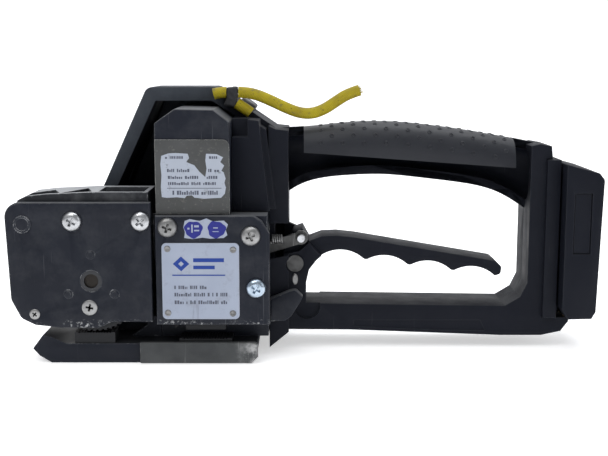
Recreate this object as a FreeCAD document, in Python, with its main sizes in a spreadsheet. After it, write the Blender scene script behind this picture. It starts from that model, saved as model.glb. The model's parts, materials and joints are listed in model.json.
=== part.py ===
"""Battery strapping tool: tensioner, friction welder and cutter in one hand-held tool.

Frame: +X from the nose towards the battery, +Y away from the side where the strap goes in,
+Z up. The origin is under the middle of the tool, on the surface that its base stands on.
"""
import FreeCAD, Part
import math
import os
import Sketcher

V = FreeCAD.Vector

SIZES = {
    # plan: stations along Y, from the strap side to the drive side
    "casting_face": -50.5, "plate_thick": 4.5, "wheel_gap": 0.9, "wheel_width": 13.4,
    "rocker_depth": 31.5, "back_plate_thick": 3.4, "rocker_gap": 4.6,
    "facet_front": -36.0, "facet_step": 8.0, "cheek_front": -24.0, "frame_half_width": 17.0,
    "drive_plane": 30.0, "drive_depth": 28.0, "case_back": 28.0,
    # fits
    "running_gap": 0.05, "side_gap": 0.3, "belt_gap": 0.2, "wall": 3.0,
    # feed wheel and its planetary gear
    "wheel_x": -122.7, "wheel_z": 48.6, "wheel_radius": 30.0, "wheel_web": 4.0,
    "wheel_pocket_gap": 1.8, "gear_module": 1.0, "gear_teeth": 15, "hub_radius": 8.0,
    "planet_pin_radius": 2.5, "sun_shaft_radius": 4.0, "bush_radius": 6.0,
    # rocker
    "pivot_x": -79.3, "pivot_z": 74.0, "pivot_radius": 5.0, "ear_radius": 9.5,
    "rocker_left": -170.3, "rocker_right": -88.7, "rocker_top": 93.0, "rocker_bottom": 25.1,
    "casting_rise": 5.3, "link_arm_x": -72.0, "link_arm_z": 46.0, "link_pin_radius": 2.5,
    "pulley_radius": 8.0, "pulley_width": 8.0, "belt_thick": 1.6, "flange_height": 1.0,
    # gear case, motor block and weld cover
    "case_left": -86.3, "case_right": -24.0, "case_top": 85.0, "case_bottom": 24.0,
    "guide_front": -33.0, "fence_front": -18.0, "fence_thick": 5.0, "fence_top": 24.0,
    "cover_right": -22.5, "cover_bottom": 23.5,
    "block_right": -44.7, "block_top": 144.5, "block_front": -50.0,
    "motor_x": -65.5, "motor_z": 116.0, "motor_radius": 17.5, "motor_length": 60.0,
    "motor_shaft_radius": 3.0, "motor_pulley_radius": 6.5, "drive_pulley_radius": 12.0,
    # welding head
    "eccentric_x": -59.5, "eccentric_z": 39.0, "eccentric_radius": 6.0, "eccentric_throw": 0.9,
    "shoe_bottom": 18.8, "shoe_travel": 1.2, "press_travel": 3.8,
    # base
    "nose_x": -158.1, "base_left": -147.7, "base_right": -30.0, "foot_top": 11.3,
    "insert_top": 17.6, "anvil_top": 14.0, "rail_thick": 3.0, "rail_top": 12.6,
    # housing, handle and lever
    "hood_left": -123.0, "hood_crown_left": -95.5, "hood_top": 155.5, "hood_crown_right": -55.0,
    "hood_wall": 8.0, "handle_root_x": -19.8, "handle_root_z": 131.6,
    "opening_left": -12.4, "opening_width": 142.6, "opening_bottom": 25.5, "beam_bottom": 7.5,
    "handle_top": 135.1, "handle_thick": 32.0, "handle_half_width": 17.5, "grip_skin": 2.2,
    "post_width": 9.1, "rail_width": 8.2, "rail_bottom": 18.7, "rail_height": 94.8,
    "lever_x": -8.6, "lever_z": 51.6, "lever_half_width": 12.0, "lever_length": 124.0,
    "lever_pin_radius": 3.0, "link_pin_x": -5.1, "link_pin_z": 66.7, "link_thick": 3.0,
    "groove_pitch": 26.2, "groove_radius": 20.7,
    # battery
    "battery_gap": 1.0, "battery_depth": 21.7, "battery_half_width": 30.0, "battery_bottom": 20.3,
    "battery_height": 91.2, "cell_radius": 7.0, "cell_length": 43.0, "tongue_half": 9.0,
    # fasteners and small parts
    "pan_head_radius": 5.5, "pan_head_height": 3.0, "pan_shank_radius": 2.5, "pan_length": 10.0,
    "cord_radius": 3.3, "button_radius": 5.0, "dial_radius": 11.0,
}


class Size:
    """A number together with the spreadsheet formula that gives it."""

    def __init__(self, value, formula):
        self.value = value
        self.formula = formula

    def _join(self, sign, other, value):
        return Size(value, f"({self.formula} {sign} {formula(other)})")

    def __add__(self, other):
        return self._join("+", other, self.value + number(other))

    def __sub__(self, other):
        return self._join("-", other, self.value - number(other))

    def __mul__(self, other):
        return self._join("*", other, self.value * number(other))

    def __truediv__(self, other):
        return self._join("/", other, self.value / number(other))

    def __neg__(self):
        return Size(-self.value, f"(0 - {self.formula})")

    __radd__ = __add__
    __rmul__ = __mul__

    def __rsub__(self, other):
        return -self + other


def number(value):
    return value.value if isinstance(value, Size) else float(value)


def formula(value):
    return value.formula if isinstance(value, Size) else f"({float(value)})"


class Sheet:
    """The driving sizes: one spreadsheet row each, read as attributes."""

    def __init__(self, document, values):
        cells = document.addObject("Spreadsheet::Sheet", "Sizes")
        for row, (name, value) in enumerate(values.items(), 1):
            cells.set(f"A{row}", name)
            cells.set(f"B{row}", str(value))
            cells.setAlias(f"B{row}", name)
        document.recompute()
        for name in values:
            setattr(self, name, Size(float(cells.get(name)), f"Sizes.{name}"))


doc = FreeCAD.newDocument("strapping_tool")
s = Sheet(doc, SIZES)
nodes = []


# ---------------------------------------------------------------- building helpers

def bind(thing, path, value):
    """Drive one property of an object by the spreadsheet."""
    if isinstance(value, Size):
        thing.setExpression(path, value.formula)
    else:
        thing.setExpression(path, formula(value))


def keep(thing, label):
    """Name a finished sub-part and list it for export."""
    thing.Label = label
    nodes.append(thing)
    return thing


def new_body(name):
    return doc.addObject("PartDesign::Body", name)


PLANES = {"X": "YZ_Plane", "Y": "XZ_Plane", "Z": "XY_Plane"}


def new_sketch(body, axis, offset, name):
    """A sketch on one of the body's origin planes, moved along that plane's normal."""
    sketch = body.newObject("Sketcher::SketchObject", name)
    plane = next(f for f in body.Origin.OriginFeatures if f.Role == PLANES[axis])
    sketch.AttachmentSupport = [(plane, "")]
    sketch.MapMode = "FlatFace"
    bind(sketch, "AttachmentOffset.Base.z", -offset if axis == "Y" else offset)
    return sketch


def fix_point(sketch, geometry, end, point):
    """Tie one point of a sketch to its two coordinates."""
    for kind, value in zip(("DistanceX", "DistanceY"), point):
        rule = Sketcher.Constraint(kind, -1, 1, geometry, end, number(value))
        index = sketch.addConstraint(rule)
        if isinstance(value, Size):
            sketch.setExpression(f"Constraints[{index}]", value.formula)


def draw_polygon(sketch, points):
    corners = [V(number(a), number(b), 0) for a, b in points]
    first = sketch.GeometryCount
    count = len(corners)
    for i in range(count):
        sketch.addGeometry(Part.LineSegment(corners[i], corners[(i + 1) % count]), False)
    for i in range(count):
        after = first + (i + 1) % count
        sketch.addConstraint(Sketcher.Constraint("Coincident", first + i, 2, after, 1))
        fix_point(sketch, first + i, 1, points[i])


def draw_circle(sketch, point, radius):
    centre = V(number(point[0]), number(point[1]), 0)
    index = sketch.addGeometry(Part.Circle(centre, V(0, 0, 1), number(radius)), False)
    rule = sketch.addConstraint(Sketcher.Constraint("Radius", index, number(radius)))
    bind(sketch, f"Constraints[{rule}]", radius)
    fix_point(sketch, index, 3, point)


def add_feature(body, kind, name, sketch, length):
    feature = body.newObject(kind, name)
    feature.Profile = sketch
    bind(feature, "Length", length)
    sketch.recompute()
    feature.recompute()
    return feature


def pad(body, axis, points, low, high, name="pad"):
    """Add a prism between two stations along an axis."""
    sketch = new_sketch(body, axis, high if axis == "Y" else low, name + "_outline")
    draw_polygon(sketch, points)
    return add_feature(body, "PartDesign::Pad", name, sketch, high - low)


def disc(body, axis, point, radius, low, high, name="disc"):
    """Add a cylinder between two stations along an axis."""
    sketch = new_sketch(body, axis, high if axis == "Y" else low, name + "_outline")
    draw_circle(sketch, point, radius)
    return add_feature(body, "PartDesign::Pad", name, sketch, high - low)


def pocket(body, axis, points, low, high, name="pocket"):
    """Cut a prism between two stations along an axis."""
    sketch = new_sketch(body, axis, low if axis == "Y" else high, name + "_outline")
    draw_polygon(sketch, points)
    return add_feature(body, "PartDesign::Pocket", name, sketch, high - low)


def bore(body, axis, circles, low, high, name="bore"):
    """Cut round holes between two stations along an axis."""
    sketch = new_sketch(body, axis, low if axis == "Y" else high, name + "_outline")
    for point, radius in circles:
        draw_circle(sketch, point, radius)
    return add_feature(body, "PartDesign::Pocket", name, sketch, high - low)


def rectangle(left, right, bottom, top):
    return [(left, bottom), (right, bottom), (right, top), (left, top)]


def edges_along(shape, axis, places):
    """Names of the straight edges along an axis that stand at the given places."""
    across = [i for i in range(3) if "XYZ"[i] != axis]
    found = []
    for index, edge in enumerate(shape.Edges, 1):
        if len(edge.Vertexes) != 2:
            continue
        start, end = (vertex.Point for vertex in edge.Vertexes)
        for place in places:
            near = all(
                abs(point[k] - number(value)) < 0.01
                for point in (start, end) for k, value in zip(across, place)
            )
            if near:
                found.append(f"Edge{index}")
    return found


def round_corners(body, axis, places, radius, name="rounding"):
    """Round the corners of a prism: the edges along an axis at the given places."""
    base = body.Tip
    edges = edges_along(base.Shape, axis, places)
    if len(edges) < len(places):
        raise ValueError(f"{body.Name}: only {len(edges)} of {len(places)} corners found")
    feature = body.newObject("PartDesign::Fillet", name)
    feature.Base = (base, edges)
    bind(feature, "Radius", radius)
    feature.recompute()
    return feature


def soften_face(body, axis, station, size, name="bevel"):
    """Bevel every edge of the face that lies at a station along an axis."""
    base = body.Tip
    k = "XYZ".index(axis)
    edges = []
    for index, edge in enumerate(base.Shape.Edges, 1):
        box = edge.BoundBox
        low, high = ((box.XMin, box.XMax), (box.YMin, box.YMax), (box.ZMin, box.ZMax))[k]
        if abs(low - number(station)) < 0.01 and abs(high - number(station)) < 0.01:
            edges.append(f"Edge{index}")
    feature = body.newObject("PartDesign::Chamfer", name)
    feature.Base = (base, edges)
    bind(feature, "Size", size)
    feature.recompute()
    return feature


def move_to(thing, place):
    for letter, value in zip("xyz", place):
        bind(thing, f"Placement.Base.{letter}", value)


def turned(name, place, profile, axis="Y"):
    """A turned piece: its profile is (station along the axis, radius) points."""
    body = new_body(name)
    sketch = new_sketch(body, "Y" if axis == "Z" else "Z", 0.0, name + "_profile")
    along_first = axis == "X"
    points = [(a, r) if along_first else (r, a) for a, r in profile]
    draw_polygon(sketch, points)
    feature = body.newObject("PartDesign::Revolution", name + "_turning")
    feature.Profile = sketch
    feature.ReferenceAxis = (sketch, ["H_Axis" if along_first else "V_Axis"])
    feature.Angle = 360
    sketch.recompute()
    feature.recompute()
    move_to(body, place)
    return body


def ring(name, place, inner, outer, low, high, axis="Y"):
    return turned(name, place, [(low, inner), (low, outer), (high, outer), (high, inner)], axis)


def rod(name, place, radius, low, high, axis="Y"):
    return turned(name, place, [(low, 0.0), (low, radius), (high, radius), (high, 0.0)], axis)


def group(label, pieces):
    """Identical pieces that share one node as separate solids."""
    compound = doc.addObject("Part::Compound", label)
    compound.Links = pieces
    return keep(compound, label)


def pan_screw(name, x, z, seat, side=-1.0):
    """A pan-head screw whose head stands on a face; side is the way the head points."""
    r = s.pan_head_radius
    tip = s.pan_head_height
    profile = [
        (0.0, 0.0), (0.0, s.pan_shank_radius), (-s.pan_length, s.pan_shank_radius),
        (-s.pan_length, 0.0),
    ]
    head = [(0.0, r), (tip * 0.45, r), (tip * 0.85, r * 0.72), (tip, r * 0.35), (tip, 0.0)]
    points = [(a * side, radius) for a, radius in profile[:0:-1] + head]
    return turned(name, (x, seat, z), points)


# ---------------------------------------------------------------- stations used by many pieces

casting_front = s.casting_face
plate_front = casting_front - s.plate_thick
wheel_front = casting_front + s.wheel_gap
wheel_back = wheel_front + s.wheel_width
pocket_floor = wheel_back + s.side_gap
rocker_back = casting_front + s.rocker_depth
arm_back = rocker_back + s.back_plate_thick
hood_front = arm_back + s.rocker_gap
pulley_low = rocker_back - 1.0 - s.pulley_width
gear_low = wheel_front + 0.6
gear_high = wheel_back - s.wheel_web - 0.8
chamber_floor = pulley_low - 2.5
drive_back = s.drive_plane + s.drive_depth
tension_belt_y = s.drive_plane + 3.0
weld_belt_y = tension_belt_y + 10.0
opening_right = s.opening_left + s.opening_width
rail_left = opening_right + s.post_width
rail_right = rail_left + s.rail_width
battery_left = rail_right + s.battery_gap
battery_right = battery_left + s.battery_depth
battery_top = s.battery_bottom + s.battery_height
WHEEL = (s.wheel_x, s.wheel_z)
PIVOT = (s.pivot_x, s.pivot_z)
ECCENTRIC = (s.eccentric_x, s.eccentric_z)
MOTOR = (s.motor_x, s.motor_z)
LEVER = (s.lever_x, s.lever_z)
LINK_ARM = (s.link_arm_x, s.link_arm_z)
LINK_PIN = (s.link_pin_x, s.link_pin_z)
COVER_SCREWS = [(s.pivot_x, s.pivot_z + 5.1), (-33.0, 74.3), (-30.2, 44.6)]
ROCKER_SCREWS = [(-132.4, 82.5), (-94.2, 82.5)]
FLAT_SCREWS = [(-124.0, 33.4, 4.4), (-155.0, 29.6, 3.0), (-160.2, 80.8, 5.0)]
BASE_SCREWS = [(-80.0, -20.0), (-80.0, 20.0), (-38.0, -20.0), (-38.0, 20.0)]
DRIVE_SCREWS = [(-115.6, 62.0), (-77.0, 149.4), (-20.6, 105.0), (-19.6, 32.0), (-99.0, 25.4)]
HOUSING_SCREWS = [(14.0, 18.5), (60.0, 17.5), (120.0, 16.5), (134.8, 45.0), (134.8, 70.0)]


# ---------------------------------------------------------------- rocker: tension unit

def rocker_plate():
    left, right, top, low = s.rocker_left, s.rocker_right, s.rocker_top, s.rocker_bottom
    body = new_body("rocker_plate")
    corner_low = (left + 2.2, low + 12.7)
    outline = [
        (left, top), (right, top), (right, low), (s.wheel_x + 11.0, low),
        (s.wheel_x + 4.0, low - 3.4), (s.wheel_x - 18.0, low - 3.4), (s.wheel_x - 32.3, low - 1.8),
        (s.wheel_x - 40.0, low + 2.0), corner_low,
    ]
    pad(body, "Y", outline, plate_front, casting_front)
    round_corners(body, "Y", [outline[0]], 8.5, "top_corner")
    round_corners(body, "Y", [corner_low, outline[7]], 5.0, "low_corners")
    soften_face(body, "Y", plate_front, 0.5)
    bore(body, "Y", [(WHEEL, s.bush_radius)], plate_front, casting_front, "shaft_bore")
    pins = [(polar_size(k), s.planet_pin_radius) for k in range(3)]
    bore(body, "Y", pins, plate_front, casting_front, "pin_bores")
    screws = [(place, s.pan_shank_radius) for place in ROCKER_SCREWS]
    screws += [((x, z), r * 0.5) for x, z, r in FLAT_SCREWS]
    bore(body, "Y", screws, plate_front, casting_front, "screw_bores")
    keep(body, "rocker_plate")


def polar_size(k, start=90.0):
    """The centre of planet k: a size-driven point on the carrier circle."""
    turn = math.radians(start + 120.0 * k)
    reach = s.gear_module * s.gear_teeth
    return (s.wheel_x + reach * math.cos(turn), s.wheel_z + reach * math.sin(turn))


def rocker_casting():
    left, right, top, low = s.rocker_left, s.rocker_right, s.rocker_top, s.rocker_bottom
    crown = top + s.casting_rise
    body = new_body("rocker_casting")
    edge = right - 1.8
    outline = [
        (left + 3.3, top - 9.0), (left + 7.0, top + 0.8), (left + 11.5, top + 3.0),
        (left + 22.8, top + 4.2), (left + 48.0, crown), (edge, crown), (edge, low + 3.0),
        (s.wheel_x - 32.0, low + 0.8), (left + 5.5, low + 12.0),
    ]
    pad(body, "Y", outline, casting_front, rocker_back)
    pocket_radius = s.wheel_radius + s.wheel_pocket_gap
    bore(body, "Y", [(WHEEL, pocket_radius)], casting_front, pocket_floor, "wheel_pocket")
    boss_front = wheel_back - s.wheel_web - 0.2
    disc(body, "Y", WHEEL, s.hub_radius, boss_front, pocket_floor, "wheel_boss")
    belt_room = [
        (s.wheel_x - 14.0, s.wheel_z), (s.wheel_x - 7.0, s.wheel_z + 12.5),
        (s.pivot_x - 17.0, s.pivot_z + 9.0), (s.pivot_x, s.pivot_z + 14.0),
        (s.pivot_x, s.pivot_z - 14.0), (s.pivot_x - 17.0, s.pivot_z - 22.0),
        (s.wheel_x + 8.0, s.wheel_z - 13.0), (s.wheel_x - 8.0, s.wheel_z - 12.5),
    ]
    pocket(body, "Y", belt_room, chamber_floor, rocker_back, "belt_room")
    ear_low = chamber_floor - 3.0
    arm = [
        (edge - 4.0, s.pivot_z + s.ear_radius), (s.pivot_x, s.pivot_z + s.ear_radius),
        (s.pivot_x, s.pivot_z - s.ear_radius), (edge - 4.0, s.pivot_z - 20.0),
    ]
    pad(body, "Y", arm, ear_low, chamber_floor, "ear_arm")
    disc(body, "Y", PIVOT, s.ear_radius, ear_low, chamber_floor, "ear")
    bore(body, "Y", [(PIVOT, s.pivot_radius + s.running_gap)], ear_low, chamber_floor, "ear_bore")
    bore(body, "Y", [(WHEEL, s.bush_radius)], boss_front, chamber_floor, "bush_bore")
    screws = [(place, s.pan_shank_radius) for place in ROCKER_SCREWS]
    bore(body, "Y", screws, casting_front, casting_front + s.pan_length, "screw_bores")
    tray_front = casting_front + 3.0
    tray = [
        (s.wheel_x + 4.2, tray_front), (edge - 2.5, tray_front),
        (edge - 2.5, rocker_back - 6.0), (s.wheel_x + 4.2, rocker_back - 6.0),
    ]
    pocket(body, "Z", tray, crown - 7.0, crown + 1.0, "top_tray")
    notch = [
        (s.wheel_x - 17.0, tray_front), (s.wheel_x + 0.5, tray_front),
        (s.wheel_x - 5.0, rocker_back - 10.0),
    ]
    pocket(body, "Z", notch, crown - 7.0, crown + 1.0, "top_notch")
    nose = [
        (left + 6.5, tray_front), (left + 30.0, tray_front), (left + 24.0, rocker_back - 12.0),
        (left + 6.5, rocker_back - 18.0),
    ]
    pocket(body, "Z", nose, crown - 9.5, crown + 1.0, "nose_tray")
    keep(body, "rocker_casting")


def rocker_back_plate():
    """Steel plate behind the rocker, with the rear pivot ear and the arm that is pulled."""
    body = new_body("rocker_back_plate")
    crown = s.rocker_top - 1.0
    outline = [
        (s.wheel_x - 20.0, s.wheel_z - 16.0), (s.wheel_x - 20.0, s.wheel_z + 18.0),
        (s.pivot_x - 24.0, crown), (s.rocker_right - 1.8, crown),
        (s.rocker_right - 1.2, s.pivot_z + s.ear_radius), (s.pivot_x, s.pivot_z + s.ear_radius),
        (s.pivot_x + s.ear_radius, s.pivot_z), (s.link_arm_x + 5.0, s.link_arm_z),
        (s.link_arm_x, s.link_arm_z - 5.0), (s.link_arm_x - 6.0, s.link_arm_z),
        (s.pivot_x - 7.5, s.pivot_z - 20.0), (s.wheel_x + 10.0, s.wheel_z - 18.0),
    ]
    pad(body, "Y", outline, rocker_back, arm_back)
    bore(body, "Y", [(PIVOT, s.pivot_radius + s.running_gap)], rocker_back, arm_back, "pivot_bore")
    bore(body, "Y", [(WHEEL, s.sun_shaft_radius + s.running_gap)], rocker_back, arm_back, "shaft_bore")
    bore(body, "Y", [(LINK_ARM, s.link_pin_radius)], rocker_back, arm_back, "pin_bore")
    keep(body, "rocker_back_plate")


def rocker_small_pieces():
    heads = [
        pan_screw(f"rocker_screw_{i}", x, z, plate_front)
        for i, (x, z) in enumerate(ROCKER_SCREWS)
    ]
    group("rocker_screws", heads)
    flats = []
    for i, (x, z, r) in enumerate(FLAT_SCREWS):
        profile = [(-0.6, 0.0), (-0.6, r * 0.8), (0.0, r), (0.0, r * 0.5), (3.6, r * 0.5), (3.6, 0.0)]
        flats.append(turned(f"flat_screw_{i}", (x, plate_front, z), profile))
    group("rocker_flat_screws", flats)
    tip, end = plate_front - 0.6, gear_high + 0.4
    pins = []
    for k in range(3):
        x, z = polar_size(k)
        r = s.planet_pin_radius
        profile = [(tip, 0.0), (tip, r * 0.6), (tip + 0.6, r), (end, r), (end, 0.0)]
        pins.append(turned(f"planet_pin_{k}", (x, 0.0, z), profile))
    inner = s.sun_shaft_radius + s.running_gap
    place = (s.wheel_x, 0.0, s.wheel_z)
    boss_front = wheel_back - s.wheel_web - 0.2
    front = ring("front_bush", place, inner, s.bush_radius, plate_front, casting_front)
    rear = ring("rear_bush", place, inner, s.bush_radius, boss_front, chamber_floor)
    group("sun_shaft_bushes", [front, rear])
    place = (s.link_arm_x, 0.0, s.link_arm_z)
    end = arm_back + 0.4 + s.link_thick + 0.6
    pins.append(rod("rocker_arm_pin", place, s.link_pin_radius, rocker_back, end))
    group("rocker_pins", pins)


def belt(label, start, end, start_radius, end_radius, low, high):
    """A flat belt round two pulleys whose centres are given as size-driven points."""
    x1, z1, x2, z2 = (number(v) for v in (*start, *end))
    a, b = number(start_radius) + number(s.belt_gap), number(end_radius) + number(s.belt_gap)
    span = math.hypot(x2 - x1, z2 - z1)
    lean = math.atan2(z2 - z1, x2 - x1)
    offset = math.acos((a - b) / span)
    faces = []
    for grow in (0.0, number(s.belt_thick)):
        upper, lower = lean + offset, lean - offset
        radii = ((x1, z1, a + grow), (x2, z2, b + grow))
        (p1, p2), (q1, q2) = (
            [V(x + r * math.cos(t), 0, z + r * math.sin(t)) for x, z, r in radii]
            for t in (upper, lower)
        )
        far_1 = V(x1 - (a + grow) * math.cos(lean), 0, z1 - (a + grow) * math.sin(lean))
        far_2 = V(x2 + (b + grow) * math.cos(lean), 0, z2 + (b + grow) * math.sin(lean))
        edges = [
            Part.LineSegment(p1, p2).toShape(), Part.Arc(p2, far_2, q2).toShape(),
            Part.LineSegment(q2, q1).toShape(), Part.Arc(q1, far_1, p1).toShape(),
        ]
        faces.append(Part.Face(Part.Wire(edges)))
    loop = faces[1].cut(faces[0])
    loop.translate(V(0, number(low), 0))
    thing = doc.addObject("Part::Feature", label)
    thing.Shape = loop.extrude(V(0, number(high) - number(low), 0))
    keep(thing, label)


def pulley(name, place, radius, bore_radius, low, high):
    """A flat-belt pulley with a rim at each side, tight on its shaft."""
    rim = radius + s.belt_thick + s.flange_height
    profile = [
        (low, bore_radius), (low, rim), (low + 0.8, rim), (low + 0.8, radius),
        (high - 0.8, radius), (high - 0.8, rim), (high, rim), (high, bore_radius),
    ]
    return turned(name, (place[0], 0.0, place[1]), profile)


# ---------------------------------------------------------------- gears

def tooth_points(inner, outer, foot, tip, centre_x=0.0, centre_z=0.0, degrees=0.0):
    """A straight-flanked tooth between two radii, standing at an angle round a centre."""
    turn = math.radians(degrees)
    across = (-math.sin(turn), math.cos(turn))
    out = (math.cos(turn), math.sin(turn))
    corners = [(inner, -foot), (outer, -tip), (outer, tip), (inner, foot)]
    return [
        (centre_x + r * out[0] + h * across[0], centre_z + r * out[1] + h * across[1])
        for r, h in corners
    ]


def polar_copies(body, feature, count, name):
    """Repeat one feature evenly round the body's own Y axis."""
    pattern = body.newObject("PartDesign::PolarPattern", name)
    pattern.Originals = [feature]
    axis = next(f for f in body.Origin.OriginFeatures if f.Role == "Y_Axis")
    pattern.Axis = (axis, [""])
    pattern.Angle = 360
    bind(pattern, "Occurrences", count)
    body.Tip = pattern
    pattern.recompute()
    return pattern


def spur_gear(name, place, shift, low, high, bore_radius=None):
    """An external gear on the body's own axis, its first tooth turned by a part of a tooth."""
    m, teeth = s.gear_module, s.gear_teeth
    body = new_body(name)
    pitch = m * teeth / 2.0
    root = pitch - m * 1.15
    disc(body, "Y", (0.0, 0.0), root, low, high, "blank")
    points = tooth_points(root - m * 0.6, pitch + m * 0.82, m * 0.98, m * 0.3, degrees=shift)
    tooth = pad(body, "Y", points, low, high, "tooth")
    polar_copies(body, tooth, teeth, "teeth")
    if bore_radius is not None:
        bore(body, "Y", [((0.0, 0.0), bore_radius)], low, high, "bore")
    move_to(body, (place[0], 0.0, place[1]))
    return body


def feed_wheel():
    m, ring_teeth = s.gear_module, s.gear_teeth * 3.0
    body = new_body("feed_wheel")
    disc(body, "Y", (0.0, 0.0), s.wheel_radius - 0.8, wheel_front, wheel_back, "rim")
    pitch = m * ring_teeth / 2.0
    web = wheel_back - s.wheel_web
    bore(body, "Y", [((0.0, 0.0), pitch - m * 0.82)], wheel_front, web, "gear_room")
    gap = tooth_points(pitch - m * 2.0, pitch + m * 1.2, m * 1.36, m * 0.62, degrees=0.0)
    space = pocket(body, "Y", gap, wheel_front, web, "tooth_space")
    polar_copies(body, space, ring_teeth, "tooth_spaces")
    hub = s.hub_radius + s.running_gap
    bore(body, "Y", [((0.0, 0.0), hub)], web, wheel_back, "hub_bore")
    grip = tooth_points(s.wheel_radius - 1.6, s.wheel_radius, 1.3, 0.5, degrees=0.0)
    tooth = pad(body, "Y", grip, wheel_front, wheel_back, "grip_tooth")
    polar_copies(body, tooth, 60, "grip_teeth")
    move_to(body, (s.wheel_x, 0.0, s.wheel_z))
    keep(body, "feed_wheel")


def sun_shaft():
    body = spur_gear("sun_shaft", WHEEL, 0.0, gear_low, gear_high)
    shaft_front = plate_front + 1.5
    disc(body, "Y", (0.0, 0.0), s.sun_shaft_radius, shaft_front, arm_back + 0.3, "shaft")
    keep(body, "sun_shaft")


def rocker_moving_pieces():
    feed_wheel()
    sun_shaft()
    hole = s.planet_pin_radius + s.running_gap
    for k in range(3):
        gear = spur_gear(f"planet_gear_{k + 1}", polar_size(k), 12.0, gear_low, gear_high, hole)
        keep(gear, f"planet_gear_{k + 1}")
    high = pulley_low + s.pulley_width
    sun_pulley = pulley("sun_wheel", WHEEL, s.pulley_radius, s.sun_shaft_radius, pulley_low, high)
    keep(sun_pulley, "sun_pulley")
    belt(
        "rocker_belt", WHEEL, PIVOT, s.pulley_radius, s.pulley_radius,
        pulley_low + 1.1, high - 1.1,
    )


# ---------------------------------------------------------------- gear case and drive

def gear_case():
    left, right, top = s.case_left, s.case_right, s.case_top
    body = new_body("gear_case")
    lower = rectangle(left, right, s.foot_top, top)
    pad(body, "Y", lower, s.guide_front, s.case_back, "main_block")
    upper = rectangle(left, right, s.case_bottom, top)
    pad(body, "Y", upper, casting_front, s.guide_front, "front_block")
    room = rectangle(left + 4.3, right - 13.0, s.case_bottom - 1.0, 68.0)
    pocket(body, "Y", room, casting_front, s.guide_front - 1.0, "weld_room")
    for side, x in (("left", left + 4.0), ("right", right - 19.0)):
        ledge = rectangle(x, x + 6.2, s.case_bottom + 4.0, s.case_bottom + 8.0)
        pad(body, "Y", ledge, casting_front + 3.0, s.guide_front - 0.5, "spring_ledge_" + side)
    ear_low = chamber_floor - 3.4
    arms = rectangle(left - 1.0, s.link_arm_x + 8.0, 38.0, top + 1.0)
    pocket(body, "Y", arms, ear_low, arm_back + 0.4, "arm_room")
    channel = [
        (left - 1.0, 38.0), (s.link_arm_x + 8.0, 38.0), (right + 1.0, 56.0), (right + 1.0, 76.0),
        (s.link_arm_x + 8.0, 58.0), (left - 1.0, 58.0),
    ]
    link_room_end = arm_back + s.link_thick + 1.6
    pocket(body, "Y", channel, arm_back, link_room_end, "link_room")
    seats = [
        (PIVOT, s.pivot_radius + s.running_gap),
        (ECCENTRIC, s.pivot_radius + s.running_gap),
    ]
    bore(body, "Y", seats[:1], ear_low - 4.0, s.case_back, "pivot_bore")
    bore(body, "Y", seats[1:], s.guide_front - 1.0, s.case_back, "eccentric_bore")
    screws = [(place, s.pan_shank_radius) for place in COVER_SCREWS]
    deep = plate_front + s.pan_length
    bore(body, "Y", screws, casting_front, deep, "cover_screw_bores")
    threads = [(place, 2.5) for place in BASE_SCREWS]
    bore(body, "Z", threads, s.foot_top, s.case_bottom + 6.0, "base_screw_bores")
    keep(body, "gear_case")


def motor_block():
    left, right, top, low = s.case_left, s.block_right, s.block_top, s.case_top
    body = new_body("motor_block")
    outline = [
        (left, low), (right, low), (right, top - 7.2), (right - 8.8, top - 0.4),
        (right - 30.3, top), (left, top - 8.0),
    ]
    pad(body, "Y", outline, s.block_front, s.case_back)
    soften_face(body, "Y", s.block_front, 0.6)
    room_end = s.block_front + 4.0 + s.motor_length + 6.5
    bore(body, "Y", [(MOTOR, s.motor_radius)], s.block_front + 4.0, room_end, "motor_room")
    bore(body, "Y", [(MOTOR, s.motor_shaft_radius + 2.0)], room_end, s.case_back, "shaft_hole")
    keep(body, "motor_block")
    plate = new_body("id_plate")
    sheet = rectangle(left + 0.1, right, low + 0.9, low + 42.7)
    pad(plate, "Y", sheet, s.block_front - 0.8, s.block_front)
    round_corners(plate, "Y", [sheet[2]], 4.0)
    keep(plate, "id_plate")


def motor():
    start = s.block_front + 4.0
    end = start + s.motor_length
    place = (s.motor_x, 0.0, s.motor_z)
    shaft, can = s.motor_shaft_radius, s.motor_radius
    loose = shaft + s.running_gap
    shell = [
        (start, 0.0), (start, can), (end, can), (end, can - 1.5), (start + 1.5, can - 1.5),
        (start + 1.5, 0.0),
    ]
    can_piece = turned("motor_shell", place, shell)
    cap = [
        (end, loose), (end, can), (end + 6.5, can), (end + 6.5, loose + 2.0), (end + 6.5, loose),
    ]
    group("motor_can", [can_piece, turned("motor_cap", place, cap[:3] + cap[4:])])
    core = [
        (start + 2.5, 0.0), (start + 2.5, shaft), (start + 8.0, shaft), (start + 8.0, can - 4.0),
        (end - 12.0, can - 4.0), (end - 12.0, 7.0), (end - 2.0, 7.0), (end - 2.0, shaft),
        (weld_belt_y + s.pulley_width, shaft), (weld_belt_y + s.pulley_width, 0.0),
    ]
    high = weld_belt_y + s.pulley_width
    wheel = pulley("motor_wheel", MOTOR, s.motor_pulley_radius, shaft, tension_belt_y, high)
    group("motor_rotor", [turned("motor_core", place, core), wheel])
    inset = 1.1
    belt(
        "tension_belt", MOTOR, PIVOT, s.motor_pulley_radius, s.drive_pulley_radius,
        tension_belt_y + inset, tension_belt_y + s.pulley_width - inset,
    )
    belt(
        "weld_belt", MOTOR, ECCENTRIC, s.motor_pulley_radius, s.drive_pulley_radius - 2.0,
        weld_belt_y + inset, weld_belt_y + s.pulley_width - inset,
    )


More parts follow.
